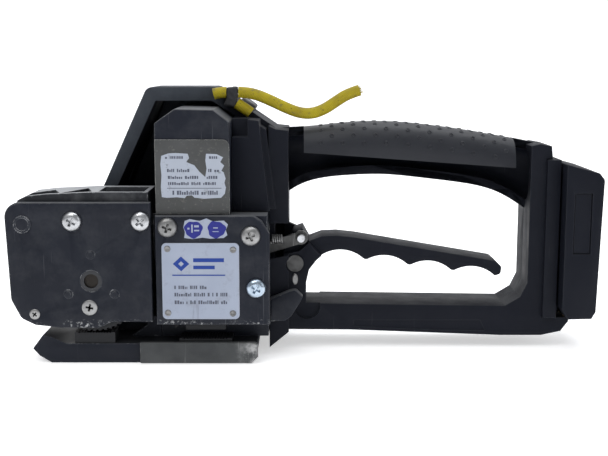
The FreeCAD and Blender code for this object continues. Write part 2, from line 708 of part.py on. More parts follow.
def shafts():
    ear_low = chamber_floor - 3.4
    place = (s.pivot_x, 0.0, s.pivot_z)
    end = tension_belt_y + s.pulley_width + 0.5
    keep(rod("pivot_shaft", place, s.pivot_radius, ear_low - 3.6, end), "pivot_shaft")
    high = pulley_low + s.pulley_width
    inner = pulley("rocker_wheel", PIVOT, s.pulley_radius, s.pivot_radius, pulley_low, high)
    low, high = tension_belt_y, tension_belt_y + s.pulley_width
    outer = pulley("drive_wheel", PIVOT, s.drive_pulley_radius, s.pivot_radius, low, high)
    group("pivot_pulleys", [inner, outer])
    body = new_body("eccentric_shaft")
    front = casting_front + 2.0
    end = weld_belt_y + s.pulley_width + 0.5
    disc(body, "Y", (0.0, 0.0), s.pivot_radius, s.guide_front - 1.3, end, "shaft")
    lobe = (s.eccentric_throw, 0.0)
    disc(body, "Y", lobe, s.eccentric_radius, front, s.guide_front - 1.3, "lobe")
    move_to(body, (s.eccentric_x, 0.0, s.eccentric_z))
    keep(body, "eccentric_shaft")
    high = weld_belt_y + s.pulley_width
    radius = s.drive_pulley_radius - 2.0
    wheel = pulley("eccentric_wheel", ECCENTRIC, radius, s.pivot_radius, weld_belt_y, high)
    keep(wheel, "eccentric_pulley")


def weld_cover():
    left, right, low, top = s.case_left, s.cover_right, s.cover_bottom, s.case_top + 0.6
    body = new_body("weld_cover")
    outline = [
        (left, low), (right, low), (right, top - 10.5), (right - 4.3, top - 3.2),
        (right - 9.0, top), (left, top),
    ]
    pad(body, "Y", outline, plate_front, casting_front)
    soften_face(body, "Y", plate_front, 0.5)
    screws = [(place, s.pan_shank_radius) for place in COVER_SCREWS]
    bore(body, "Y", screws, plate_front, casting_front, "screw_bores")
    keep(body, "weld_cover")
    heads = [
        pan_screw(f"cover_screw_{i}", x, z, plate_front) for i, (x, z) in enumerate(COVER_SCREWS)
    ]
    group("cover_screws", heads)
    plate = new_body("nameplate")
    sheet = rectangle(left + 3.5, right - 17.0, low + 3.4, low + 46.9)
    pad(plate, "Y", sheet, plate_front - 0.6, plate_front)
    round_corners(plate, "Y", sheet, 2.6)
    keep(plate, "nameplate")


def weld_head():
    """Carrier that is pressed down, its springs, the shoe that shakes and the cutter."""
    low, high = casting_front + 3.2, s.guide_front - 1.6
    x, z = s.eccentric_x, s.eccentric_z
    reach = s.eccentric_radius + s.eccentric_throw + s.side_gap
    top = z + reach + s.press_travel
    fork = reach + s.shoe_travel
    body = new_body("weld_carrier")
    half = fork + 3.0 + s.shoe_travel + s.side_gap + 3.1
    pad(body, "Y", rectangle(x - half, x + half, s.shoe_bottom + 5.0, top + 13.0), low, high)
    bar = rectangle(s.case_left + 4.7, s.case_right - 13.4, top + 4.0, top + 8.0)
    pad(body, "Y", bar, low, high, "spring_bar")
    room = rectangle(x - half + 3.1, x + half - 3.1, s.shoe_bottom + 4.0, top + 4.2)
    pocket(body, "Y", room, low - 0.1, high - 3.0, "shoe_room")
    slot = rectangle(x - reach, x + reach, z - reach, top)
    pocket(body, "Y", slot, high - 3.0, high, "shaft_slot")
    keep(body, "weld_carrier")
    shoe = new_body("weld_shoe")
    outer = rectangle(x - fork - 3.0, x + fork + 3.0, s.shoe_bottom, top + 3.6)
    pad(shoe, "Y", outer, low, high - 3.3)
    pocket(shoe, "Y", rectangle(x - fork, x + fork, z - reach, top + 0.4), low, high - 3.3, "fork")
    keep(shoe, "weld_shoe")
    cutter = new_body("strap_cutter")
    blade = [
        (x - half - 1.5, s.shoe_bottom + 0.6), (x - half, s.shoe_bottom + 2.0),
        (x - half, s.shoe_bottom + 8.8), (x - half - 1.5, s.shoe_bottom + 8.8),
    ]
    pad(cutter, "Y", blade, low, high)
    keep(cutter, "strap_cutter")
    springs = []
    centre = (low + high) / 2.0
    for name, place in (("left", s.case_left + 7.4), ("right", s.case_right - 16.2)):
        seat = s.case_bottom + 8.0
        springs.append(coil(f"spring_{name}", (place, centre, seat), 2.2, 0.45, top + 4.0 - seat, 7))
    group("weld_springs", springs)


def coil(name, place, radius, wire, height, turns, lay_down=False):
    """A round-wire compression spring standing on a point, or lying along X."""
    helix = doc.addObject("Part::Helix", name + "_line")
    bind(helix, "Radius", radius)
    bind(helix, "Height", height - 2.0 * wire)
    bind(helix, "Pitch", (height - 2.0 * wire) / turns)
    section = doc.addObject("Part::Circle", name + "_wire")
    bind(section, "Radius", wire)
    bind(section, "Placement.Base.x", radius)
    section.Placement.Rotation = FreeCAD.Rotation(V(1, 0, 0), 90)
    helix.recompute()
    section.recompute()
    sweep = doc.addObject("Part::Sweep", name)
    sweep.Sections = [section]
    sweep.Spine = (helix, ["Edge1"])
    sweep.Solid = True
    sweep.Frenet = True
    if lay_down:
        sweep.Placement.Rotation = FreeCAD.Rotation(V(0, 1, 0), 90)
        move_to(sweep, (place[0] + wire, place[1], place[2]))
    else:
        move_to(sweep, (place[0], place[1], place[2] + wire))
    return sweep


# ---------------------------------------------------------------- base

def base():
    right, top, depth = s.base_right, s.foot_top, s.case_back
    body = new_body("base_plate")
    nose = [
        (s.base_left, 0.0), (s.nose_x + 3.6, 4.2), (s.nose_x, 8.4), (s.nose_x + 5.8, 16.1),
        (s.nose_x + 10.5, 15.2), (s.nose_x + 18.9, top), (s.case_left - 10.0, top),
        (s.case_left - 10.0, 0.0),
    ]
    nose_back = rocker_back + 6.0
    pad(body, "Y", nose, s.block_front, nose_back, "nose")
    bed = [
        (s.case_left - 14.0, 0.0), (right - 8.0, 0.0), (right, 5.0), (right, top),
        (s.case_left - 14.0, top),
    ]
    pad(body, "Y", bed, s.block_front, depth, "bed")
    wall = [
        (s.case_left - 19.3, top - 1.0), (s.case_left - 8.5, s.case_bottom - 6.0),
        (s.case_left - 8.5, s.case_bottom - 1.0), (s.case_left - 0.4, s.case_bottom - 1.0),
        (s.case_left - 0.4, top - 1.0),
    ]
    pad(body, "Y", wall, s.guide_front, s.guide_front + 5.0, "strap_guide")
    fence = rectangle(s.nose_x + 18.9, s.case_left - 8.5, top - 1.0, s.fence_top)
    pad(body, "Y", fence, s.fence_front, s.fence_front + s.fence_thick, "back_fence")
    insert_back = s.guide_front - 2.0
    gripper = rectangle(s.wheel_x - 11.5, s.wheel_x + 11.5, s.block_front + 1.0, insert_back)
    pocket(body, "Z", gripper, top - 2.5, top, "gripper_seat")
    anvil = rectangle(s.eccentric_x - 15.0, s.eccentric_x + 15.0, s.block_front + 1.0, insert_back)
    pocket(body, "Z", anvil, top - 2.5, top, "anvil_seat")
    bore(body, "Z", [(place, 2.5) for place in BASE_SCREWS], 0.0, top, "screw_bores")
    bore(body, "Z", [(place, 4.6) for place in BASE_SCREWS], -4.0, 4.0, "screw_heads")
    keep(body, "base_plate")
    for label, outline, x, high in (
        ("gripper_plate", gripper, s.wheel_x, s.insert_top),
        ("weld_anvil", anvil, s.eccentric_x, s.anvil_top),
    ):
        insert = new_body(label)
        pad(insert, "Z", outline, top - 2.5, high)
        count = 12 if label == "gripper_plate" else 16
        pitch = 1.6
        for k in range(count):
            left = x + (k - count / 2.0) * pitch
            groove = [(left, high), (left + pitch * 0.5, high - 0.5), (left + pitch * 0.9, high)]
            pocket(insert, "Y", groove, s.block_front + 1.0, insert_back, f"groove_{k}")
        keep(insert, label)
    rail = new_body("base_side_block")
    side = [
        (s.case_left - 10.4, 0.2), (right - 3.0, 0.2), (right + 0.5, 4.0), (right + 0.5, s.rail_top - 1.0),
        (right - 1.0, s.rail_top), (s.case_left - 10.4, s.rail_top),
    ]
    pad(rail, "Y", side, s.block_front - s.rail_thick, s.block_front)
    soften_face(rail, "Y", s.block_front - s.rail_thick, 0.6)
    keep(rail, "base_side_block")


# ---------------------------------------------------------------- housing and handle

HANDLE = [
    # share of the opening's width, drop of the top line, thickness, half width
    (-0.06, 4.3, 45.0, 20.0), (0.03, 3.5, 36.0, 18.5), (0.13, 2.3, 32.2, 17.5),
    (0.255, 0.5, 32.0, 17.5), (0.40, 0.0, 32.0, 17.5), (0.56, 1.7, 32.4, 17.5),
    (0.73, 4.9, 32.2, 17.5), (0.88, 8.5, 34.0, 17.5), (0.99, 11.5, 40.0, 17.2),
    (1.06, 13.6, 44.0, 17.0),
]
# how far past the opening one whole share would reach, in millimetres
END_REACH = 142.6
ROUNDNESS = 2.5
SECTION_POINTS = 16


def section_wire(x, centre, wide, tall, side, half_only):
    """One rounded section of the grip, or its half; a closed one starts away from its side."""
    steps = SECTION_POINTS // 2 + 1 if half_only else SECTION_POINTS
    start = side * math.pi / 2.0 if half_only else (side + 1) * math.pi / 2.0
    points = []
    for k in range(steps):
        turn = start - side * 2.0 * math.pi * k / SECTION_POINTS
        c, d = math.cos(turn), math.sin(turn)
        y = wide * math.copysign(abs(c) ** (2.0 / ROUNDNESS), c)
        z = tall * math.copysign(abs(d) ** (2.0 / ROUNDNESS), d)
        points.append(V(x, y, centre + z))
    curve = Part.BSplineCurve()
    if not half_only:
        curve.interpolate(Points=points, PeriodicFlag=True)
        return Part.Wire([curve.toShape()])
    points[0].y = 0.0
    points[-1].y = 0.0
    curve.interpolate(Points=points)
    return Part.Wire([curve.toShape(), Part.LineSegment(points[-1], points[0]).toShape()])


def handle_loft(name, inset, side=-1, half_only=False):
    """The grip's skin as a loft of rounded sections, shrunk by an inset."""
    wires = []
    for share, drop, thick, half_width in HANDLE:
        inside = min(max(share, 0.0), 1.0)
        x = number(s.opening_left) + inside * number(s.opening_width)
        x += (share - inside) * END_REACH
        tall = thick * number(s.handle_thick) / 32.0 / 2.0
        centre = number(s.handle_top) - drop - tall
        wide = half_width * number(s.handle_half_width) / 17.5
        wires.append(section_wire(x, centre, wide - inset, tall - inset, side, half_only))
    thing = doc.addObject("Part::Feature", name)
    thing.Shape = Part.makeLoft(wires, True, False)
    return thing


def boolean(kind, name, first, others):
    """A Part boolean of one object with several others."""
    thing = doc.addObject(kind, name)
    if kind == "Part::MultiFuse":
        thing.Shapes = [first, *others]
    else:
        thing.Base = first
        thing.Tool = others[0]
    thing.recompute()
    return thing


def half(side, near, far):
    """Stations along Y for depths counted from the seam between the two shells."""
    return (-far, -near) if side < 0 else (near, far)


def frame_body(side):
    """Everything of one housing shell except the grip."""
    body = new_body("frame_left" if side < 0 else "frame_right")
    left, crown, top = s.hood_left, s.hood_crown_left, s.hood_top
    wall = s.hood_wall
    root_x, root_z = s.handle_root_x, s.handle_root_z
    opening = s.opening_left
    hood_depth = -hood_front if side < 0 else s.drive_plane
    seam = 0.0
    outer = [
        (left, 34.0), (left, 96.0), (crown, top), (s.hood_crown_right, top), (root_x, root_z),
        (opening, root_z - 0.8), (opening, 11.2), (s.case_right, 1.6), (s.case_right, 12.0),
        (s.case_left - 2.0, 12.0), (left + 12.0, 26.0),
    ]
    pad(body, "Y", outer, *half(side, seam, hood_depth), "hood")
    round_corners(body, "Y", [outer[2], outer[3]], 5.0, "crown_rounding")
    column_depth = -s.cheek_front
    column = [
        (s.case_right + 0.2, 12.0), (s.case_right + 0.2, root_z + 2.0), (root_x, root_z),
        (opening, root_z - 0.8), (opening, 11.2), (s.case_right + 0.2, 1.8),
    ]
    pad(body, "Y", column, *half(side, seam, column_depth), "column")
    if side < 0:
        facets(body, side, seam)
    depth = s.frame_half_width
    low, floor = s.beam_bottom, s.opening_bottom
    beam = [
        (opening - 2.0, 11.2), (opening + 37.0, 10.9), (opening + 92.0, low + 1.5),
        (opening_right - 15.0, low), (rail_left, low), (rail_right + 3.4, low + 2.5),
        (rail_right + 8.0, low + 8.6), (rail_right + 8.0, s.rail_bottom - 0.3),
        (rail_left, s.rail_bottom - 0.3), (rail_left, floor + 6.0), (opening_right, floor + 14.0),
        (opening_right - 4.0, floor + 5.5), (opening_right - 13.0, floor), (opening - 2.0, floor + 1.7),
    ]
    pad(body, "Y", beam, *half(side, seam, depth), "beam")
    post_top = s.handle_top - 13.8
    rail_top = s.rail_bottom + s.rail_height
    post = [
        (opening_right, floor + 13.0), (rail_left, floor + 5.0), (rail_left, rail_top + 0.3),
        (rail_left + 3.5, rail_top + 0.3), (rail_left + 2.7, post_top), (rail_left - 4.0, post_top + 1.2),
        (opening_right, post_top),
    ]
    pad(body, "Y", post, *half(side, seam, depth), "post")
    bump = [
        (opening - 1.0, floor), (opening + 10.4, floor), (opening + 10.4, 40.0),
        (opening + 12.1, 47.6), (opening + 16.3, 53.1), (opening + 19.5, 56.0),
        (opening + 8.0, 68.0), (opening - 1.0, 72.0),
    ]
    pad(body, "Y", bump, *half(side, seam, depth), "lever_cheek")
    inner = [
        (left + wall + 1.0, 40.0), (left + wall + 1.0, 97.5), (crown + 5.0, top - wall),
        (s.hood_crown_right - 2.5, top - wall), (s.block_right + 0.5, s.block_top - 5.5),
        (s.block_right + 0.5, s.case_top + 0.6), (s.case_right + 0.2, s.case_top + 0.6),
        (s.case_right + 0.2, 0.0), (s.case_left - 1.0, 0.0), (s.case_left - 1.0, 18.0),
        (left + wall + 10.0, 33.0),
    ]
    pocket(body, "Y", inner, *half(side, seam, hood_depth), "hood_room")
    upper_depth = 8.0 if side < 0 else s.drive_plane - s.wall
    upper = [
        (s.block_right + 3.7, s.case_top + 3.6), (s.block_right + 3.7, root_z + 6.0),
        (root_x - 4.0, root_z - 6.5), (opening - 3.0, root_z - 8.0), (opening - 3.0, s.case_top + 3.6),
    ]
    pocket(body, "Y", upper, *half(side, seam, upper_depth), "board_room")
    lower = [
        (s.case_right + 3.2, 8.0), (s.case_right + 3.2, s.case_top + 4.0),
        (opening - 3.0, s.case_top + 4.0), (opening - 3.0, 14.0),
    ]
    pocket(body, "Y", lower, *half(side, seam, column_depth - s.wall), "column_room")
    slot = rectangle(s.case_right + 3.2, opening + 22.0, 34.0, s.link_pin_z + 10.0)
    pocket(body, "Y", slot, *half(side, seam, s.lever_half_width + s.side_gap), "lever_slot")
    if side < 0:
        window = [
            (s.case_right, 55.0), (opening + 6.0, 58.5), (opening + 12.0, s.link_pin_z - 3.0),
            (opening + 12.0, s.link_pin_z + 10.0), (s.case_right, s.link_pin_z + 10.0),
        ]
        pocket(body, "Y", window, *half(side, s.lever_half_width - 1.0, column_depth), "link_window")
    beam_room = [
        (opening + 14.0, 14.5), (opening_right - 14.0, low + 3.0), (rail_left - 2.0, low + 3.0),
        (rail_left - 2.0, floor + 2.0), (opening_right - 2.0, floor - 3.0), (opening + 14.0, floor - 3.0),
    ]
    pocket(body, "Y", beam_room, *half(side, seam, depth - s.wall), "beam_room")
    pin = s.lever_pin_radius
    bore(body, "Y", [(LEVER, pin)], *half(side, 0.0, depth + 8.0), "pin_bore")
    bore(body, "Y", [(LEVER, pin + 2.3)], *half(side, depth, depth + 8.0), "pin_seat")
    outer_face = half(side, depth - 0.6, depth)
    panel = [
        (opening + 39.0, 16.8), (opening + 115.0, 16.8), (opening + 118.0, low + 3.0),
        (opening + 92.0, low + 3.0), (opening + 39.0, 12.8),
    ]
    pocket(body, "Y", panel, *outer_face, "beam_panel")
    if side > 0:
        threads = [(place, 1.5) for place in HOUSING_SCREWS]
        bore(body, "Y", threads, depth - 8.0, depth, "shell_screw_bores")
        threads = [(place, 1.5) for place in DRIVE_SCREWS]
        bore(body, "Y", threads, s.drive_plane - 6.0, s.drive_plane, "cover_screw_bores")
    boss = (opening + 10.9, floor)
    bore(body, "Y", [(boss, 8.0)], *half(side, depth - 2.5, depth), "boss_recess")
    return body


def facets(body, side, seam):
    """The stepped faces of the strap-side shell beside the motor block."""
    left, low = s.block_right + 0.3, s.case_top + 0.7
    root_x, root_z = s.handle_root_x, s.handle_root_z
    front = [
        (left, low), (left, s.block_top - 16.5), (left + 9.2, s.block_top - 16.5),
        (left + 9.2, root_z + 6.2), (left + 15.4, root_z + 5.5), (left + 21.3, low),
    ]
    pad(body, "Y", front, *half(side, seam, -s.facet_front), "front_facet")
    middle = [
        (left, low), (left, s.block_top - 6.5), (left + 9.2, root_z + 6.5),
        (left + 19.3, root_z), (root_x, low),
    ]
    pad(body, "Y", middle, *half(side, seam, -s.facet_front - s.facet_step), "middle_facet")
    room = [
        (left + 3.0, low + 3.0), (left + 3.0, s.block_top - 20.0), (left + 13.5, s.block_top - 20.0),
        (left + 16.5, low + 3.0),
    ]
    pocket(body, "Y", room, *half(side, seam, -s.facet_front - s.wall), "facet_room")


def housing():
    """Two clamped shells; the grip's skin is let into them above a slanted line."""
    zone = new_body("grip_zone")
    left, right = s.opening_left + 9.0, opening_right - 9.0
    level, crest = s.handle_top - s.handle_thick * 0.55, s.handle_top + 9.0
    area = [(left, level), (right, level - 9.0), (right, crest), (left, crest)]
    reach = s.handle_half_width + 5.0
    pad(zone, "Y", area, -reach, reach)
    skin, wall = number(s.grip_skin), number(s.wall)
    for side, label in ((-1, "housing_left"), (1, "housing_right")):
        under = handle_loft(f"under_skin_{label}", skin, side)
        around = boolean("Part::Cut", f"around_{label}", zone, [under])
        if side < 0:
            grip = handle_loft("whole_grip", 0.0, side)
            keep(boolean("Part::Common", "grip_pad", grip, [around]), "grip_pad")
        grip = handle_loft(f"grip_{label}", 0.0, side, True)
        shell = boolean("Part::MultiFuse", f"joined_{label}", frame_body(side), [grip])
        tools = [handle_loft(f"core_{label}", skin + wall, side), around]
        if side > 0:
            tools += button_bores()
        for k, tool in enumerate(tools):
            shell = boolean("Part::Cut", f"{label}_cut_{k}", shell, [tool])
        keep(shell, label)


def drive_cover():
    body = new_body("drive_cover")
    left, crown, top, wall = s.hood_left, s.hood_crown_left, s.hood_top, s.wall
    right = s.opening_left
    outer = [
        (left + 3.0, 36.0), (left + 3.0, 94.0), (crown + 1.0, top - 1.5),
        (s.hood_crown_right, top - 1.5), (s.handle_root_x - 3.0, s.handle_root_z),
        (right - 4.0, s.handle_root_z - 8.0), (right - 4.0, 22.0), (s.case_right, 13.0),
        (s.case_left - 2.0, 13.0), (left + 13.0, 28.0),
    ]
    pad(body, "Y", outer, s.drive_plane, drive_back)
    round_corners(body, "Y", outer[:6], 6.0, "corners")
    soften_face(body, "Y", drive_back, 4.0)
    inner = [
        (left + 7.5, 40.0), (left + 7.5, 92.0), (crown + 4.0, top - 6.0),
        (s.hood_crown_right - 2.0, top - 6.0), (right - 9.0, s.handle_root_z - 10.0),
        (right - 9.0, 25.0), (s.case_right, 18.0), (s.case_left - 1.0, 18.0), (left + 16.0, 33.0),
    ]
    pocket(body, "Y", inner, s.drive_plane, drive_back - wall, "belt_space")
    for k in range(6):
        x = s.motor_x - 12.5 + 5.0 * k
        vent = rectangle(x - 1.1, x + 1.1, s.motor_z + 2.0, s.motor_z + 24.0)
        pocket(body, "Y", vent, drive_back - wall - 0.5, drive_back, f"vent_{k}")
    dial = (s.pivot_x, s.pivot_z - 2.0)
    bore(body, "Y", [(dial, 3.0 + s.running_gap)], drive_back - wall - 0.5, drive_back, "dial_bore")
    seat = s.dial_radius + 0.5
    bore(body, "Y", [(dial, seat)], drive_back - 1.4, drive_back, "dial_seat")
    screws = [(place, 1.5) for place in DRIVE_SCREWS]
    for k, (x, z) in enumerate(DRIVE_SCREWS):
        disc(body, "Y", (x, z), 4.2, s.drive_plane, drive_back - wall, f"screw_post_{k}")
    bore(body, "Y", [(place, 3.3) for place in DRIVE_SCREWS], drive_back - 4.6, drive_back, "head_room")
    bore(body, "Y", screws, s.drive_plane, drive_back, "screw_bores")
    keep(body, "drive_cover")
    knob = new_body("tension_dial")
    disc(knob, "Y", (0.0, 0.0), s.dial_radius, drive_back - 1.1, drive_back - 0.2, "knob")
    handle = rectangle(-2.0, 2.0, -s.dial_radius + 2.0, s.dial_radius - 2.0)
    pad(knob, "Y", handle, drive_back - 1.1, drive_back, "grip_bar")
    disc(knob, "Y", (0.0, 0.0), 3.0, drive_back - wall - 5.0, drive_back - 1.1, "stem")
    move_to(knob, (dial[0], 0.0, dial[1]))
    keep(knob, "tension_dial")


def case_screws():
    """Screws that hold the base and the drive cover and clamp the two shells."""
    heads = []
    top = s.case_bottom + 5.0
    for x, y in BASE_SCREWS:
        profile = [(0.8, 0.0), (0.8, 4.3), (4.0, 4.3), (4.0, 2.5), (top, 2.5), (top, 0.0)]
        heads.append(turned(f"base_screw_{len(heads)}", (x, y, 0.0), profile, "Z"))
    seats = [(place, drive_back - 4.6, s.drive_plane - 6.0) for place in DRIVE_SCREWS]
    face = s.frame_half_width
    seats += [(place, face, face - 8.0) for place in HOUSING_SCREWS]
    for k, ((x, z), seat, tip) in enumerate(seats):
        profile = [
            (tip, 0.0), (tip, 1.5), (seat, 1.5), (seat, 3.0), (seat + 0.9, 3.0), (seat + 1.4, 2.0),
            (seat + 1.4, 0.0),
        ]
        heads.append(turned(f"shell_screw_{k}", (x, 0.0, z), profile))
    group("case_screws", heads)


def cam_cover():
    body = new_body("cam_cover")
    x, z = s.opening_left, s.opening_bottom
    outline = [
        (x - 10.9, z - 6.7), (x - 10.9, z + 7.2), (x + 0.9, z + 12.0), (x + 4.4, z + 12.6),
        (x + 8.5, z + 8.4), (x + 6.8, z + 4.8), (x + 1.4, z - 3.7), (x - 2.1, z - 6.1),
    ]
    pad(body, "Y", outline, s.cheek_front - 6.0, s.cheek_front)
    soften_face(body, "Y", s.cheek_front - 6.0, 0.8)
    keep(body, "cam_cover")


# ---------------------------------------------------------------- lever and link

def lever():
    half_width = s.lever_half_width
    x, z = s.lever_x, s.lever_z
    tip = x + s.lever_length
    body = new_body("lever")
    outline = [
        (x - 7.0, z - 6.0), (x - 7.0, z + 6.0), (x - 1.0, z + 18.0), (x + 4.5, z + 20.0),
        (x + 8.5, z + 12.6), (x + 16.0, z + 15.4), (x + 25.0, z + 15.8), (x + 36.0, z + 14.6),
        (tip - 4.0, z + 0.4), (tip, z - 3.0), (tip - 0.4, z - 7.6), (tip - 5.5, z - 9.0),
        (x + 15.0, z + 3.0), (x + 4.0, z - 7.0),
    ]
    pad(body, "Y", outline, -half_width, half_width)
    fall = 0.128
    for k in range(4):
        step = s.groove_pitch * k
        place = (x + 27.0 + step, z - 13.4 - step * fall)
        bore(body, "Y", [(place, s.groove_radius)], -half_width, half_width, f"groove_{k}")
    chord = math.hypot(number(s.groove_pitch), number(s.groove_pitch) * fall) / 2.0
    height = math.sqrt(number(s.groove_radius) ** 2 - chord ** 2)
    tilt = math.atan(fall)
    crests = []
    for k in range(3):
        step = s.groove_pitch * (k + 0.5)
        crest_x = x + 27.0 + step + height * math.sin(tilt)
        crest_z = z - 13.4 - step * fall + height * math.cos(tilt)
        crests.append((crest_x, crest_z))
    round_corners(body, "Y", crests, 3.0, "crest_rounding")
    round_corners(body, "Y", [outline[9], outline[10]], 2.2, "tip_rounding")
    pin = s.lever_pin_radius + s.running_gap
    bore(body, "Y", [(LEVER, pin)], -half_width, half_width, "pin_bore")
    bore(body, "Y", [(LINK_PIN, s.link_pin_radius)], -half_width, -half_width + 6.0, "link_bore")
    keep(body, "lever")
    reach = s.frame_half_width
    profile = [
        (-reach - 1.5, 0.0), (-reach - 1.5, 5.0), (-reach, 5.0), (-reach, s.lever_pin_radius),
        (reach, s.lever_pin_radius), (reach, 0.0),
    ]
    keep(turned("lever_pin", (x, 0.0, z), profile), "lever_pin")
    head = -half_width - 8.0
    profile = [
        (head, 0.0), (head, 2.2), (head + 1.0, s.link_pin_radius),
        (-half_width + 6.0, s.link_pin_radius), (-half_width + 6.0, 0.0),
    ]
    keep(turned("link_pin", (s.link_pin_x, 0.0, s.link_pin_z), profile), "link_pin")


def link():
    """Pull rod from the lever to the rocker arm; its slot at the arm leaves the pin free."""
    high = -s.lever_half_width - s.side_gap
    low = high - s.link_thick
    body = new_body("pull_link")
    offset = 3.6
    bar = [
        (s.link_arm_x, s.link_arm_z - offset), (s.link_pin_x, s.link_pin_z - offset),
        (s.link_pin_x, s.link_pin_z + offset), (s.link_arm_x, s.link_arm_z + offset),
    ]
    pad(body, "Y", bar, low, high)
    disc(body, "Y", LINK_PIN, 4.2, low, high, "lever_eye")
    disc(body, "Y", LINK_ARM, 6.4, low, high, "arm_eye")
    bore(body, "Y", [(LINK_PIN, s.link_pin_radius + s.running_gap)], low, high, "lever_bore")
    slack = s.link_pin_radius + 1.6
    bore(body, "Y", [(LINK_ARM, slack)], low, high, "arm_slot")
    keep(body, "pull_link")


def return_spring():
    start = s.case_right + 0.9
    place = (start, s.cheek_front + 4.0, s.link_pin_z)
    keep(coil("return_spring", place, 2.4, 0.5, 7.5, 5, lay_down=True), "return_spring")


# ---------------------------------------------------------------- battery and its rail

def battery():
    half_width, gap = s.battery_half_width, s.side_gap
    tongue = s.tongue_half
    rail_top = s.rail_bottom + s.rail_height
    rail = new_body("battery_rail")
    side = s.frame_half_width + 3.0
    profile = [
        (rail_left, -side), (rail_right, -side), (rail_right, -tongue), (rail_right + 1.4, -tongue),
        (rail_right + 1.4, -tongue - 3.0), (rail_right + 2.7, -tongue - 3.0),
        (rail_right + 2.7, tongue + 3.0), (rail_right + 1.4, tongue + 3.0), (rail_right + 1.4, tongue),
        (rail_right, tongue), (rail_right, side), (rail_left, side),
    ]
    pad(rail, "Z", profile, s.rail_bottom, rail_top)
    trim = [(rail_right, -side - 1.0), (rail_right + 5.0, -side - 1.0), (rail_right + 5.0, side + 1.0),
            (rail_right, side + 1.0)]
    pocket(rail, "Z", trim, rail_top - 9.0, rail_top, "tongue_end")
    pocket(rail, "Z", trim, s.rail_bottom - 1.0, s.battery_bottom + 0.4, "tongue_start")
    keep(rail, "battery_rail")
    case = new_body("battery_case")
    left, right, low, top = battery_left, battery_right, s.battery_bottom, battery_top
    outline = [
        (left, low + 5.7), (left, top), (left + 4.1, top - 1.1), (left + 18.7, top - 4.9),
        (right, top - 8.6), (right - 2.1, low + 4.5), (right - 4.5, low + 0.3), (left + 3.6, low),
    ]
    pad(case, "Y", outline, -half_width, half_width)
    round_corners(case, "Y", [outline[4]], 3.0)
    channel = [
        (left - 1.0, -tongue - gap), (rail_right + 1.4 - gap, -tongue - gap),
        (rail_right + 1.4 - gap, -tongue - 3.0 - gap),
        (rail_right + 2.7 + gap, -tongue - 3.0 - gap), (rail_right + 2.7 + gap, tongue + 3.0 + gap),
        (rail_right + 1.4 - gap, tongue + 3.0 + gap), (rail_right + 1.4 - gap, tongue + gap),
        (left - 1.0, tongue + gap),
    ]
    slot_top = rail_top - 9.0 + gap
    pocket(case, "Z", channel, low - 1.0, slot_top, "rail_channel")
    room_left = rail_right + 2.7 + gap + 1.2
    cells_low = low + 9.0
    cells_high = top - 8.5
    room = rectangle(room_left, right - 2.6, -s.cell_length / 2.0 - 0.5, s.cell_length / 2.0 + 0.5)
    pocket(case, "Z", room, cells_low, cells_high, "cell_room")
    contact_x = rail_right + 6.5
    for k in range(3):
        y = (k - 1.0) * 9.0
        slit = rectangle(contact_x - 1.3, contact_x + 1.3, y - 3.0, y + 3.0)
        pocket(case, "Z", slit, low - 1.0, cells_low + 0.5, f"contact_slit_{k}")
    grip = (contact_x - 0.6, contact_x + 9.6, low + 39.0, low + 74.6)
    for side_name, sign in (("front", -1), ("rear", 1)):
        deep = half(sign, half_width - 5.2, half_width)
        pocket(case, "Y", rectangle(*grip), *deep, "button_room_" + side_name)
    keep(case, "battery_case")
    cells = []
    cell_x = (room_left + right - 2.6) / 2.0
    count = 5
    for k in range(count):
        z = cells_low + s.cell_radius + 0.5 + (2.0 * s.cell_radius + 0.5) * k
        reach = s.cell_length / 2.0
        radius = s.cell_radius - 0.4
        cells.append(rod(f"cell_{k}", (cell_x, 0.0, z), radius, -reach, reach))
    group("battery_cells", cells)
    for side_name, sign in (("front", -1), ("rear", 1)):
        button = new_body(f"battery_button_{side_name}")
        left_x, right_x, low_z, high_z = grip
        face = rectangle(left_x + 0.4, right_x - 0.4, low_z + 0.4, high_z - 0.4)
        pad(button, "Y", face, *half(sign, half_width - 3.0, half_width - 0.8))
        keep(button, f"battery_button_{side_name}")
    blades = []
    for k in range(3):
        y = (k - 1.0) * 9.0
        blade = new_body(f"contact_{k}")
        flat = rectangle(contact_x - 0.5, contact_x + 0.5, y - 2.4, y + 2.4)
        pad(blade, "Z", flat, s.rail_bottom - 0.3, low + 5.5)
        blades.append(blade)
    group("contact_blades", blades)


# ---------------------------------------------------------------- controls

SLOPE = 34.6


def controls():
    """Two push buttons on the sloping face and the board under them."""
    turn = FreeCAD.Rotation(V(0, 1, 0), SLOPE)
    top_z = s.handle_root_z + 12.6
    x = s.handle_root_x - 17.5
    pitch = 13.5
    for label, y in (("tension_button", 8.0), ("weld_button", 8.0 + pitch)):
        profile = [
            (-7.0, 0.0), (-7.0, s.button_radius - 1.5), (-1.0, s.button_radius - 1.5),
            (-1.0, s.button_radius), (2.2, s.button_radius), (2.8, s.button_radius - 0.7), (2.8, 0.0),
        ]
        button = turned(label, (x, y, top_z), profile, "Z")
        button.Placement.Rotation = turn
        keep(button, label)
    board = new_body("control_board")
    left = s.block_right + 6.0
    depth = s.drive_plane - s.wall
    plane = rectangle(left, left + 1.6, s.case_top + 5.0, s.handle_root_z - 8.0)
    pad(board, "Y", plane, 0.5, depth - 1.0)
    for k in range(3):
        z = s.case_top + 10.0 + 10.0 * k
        chip = rectangle(left + 1.6, left + 4.0, z, z + 6.0)
        pad(board, "Y", chip, 6.0, 14.0, f"chip_{k}")
    keep(board, "control_board")


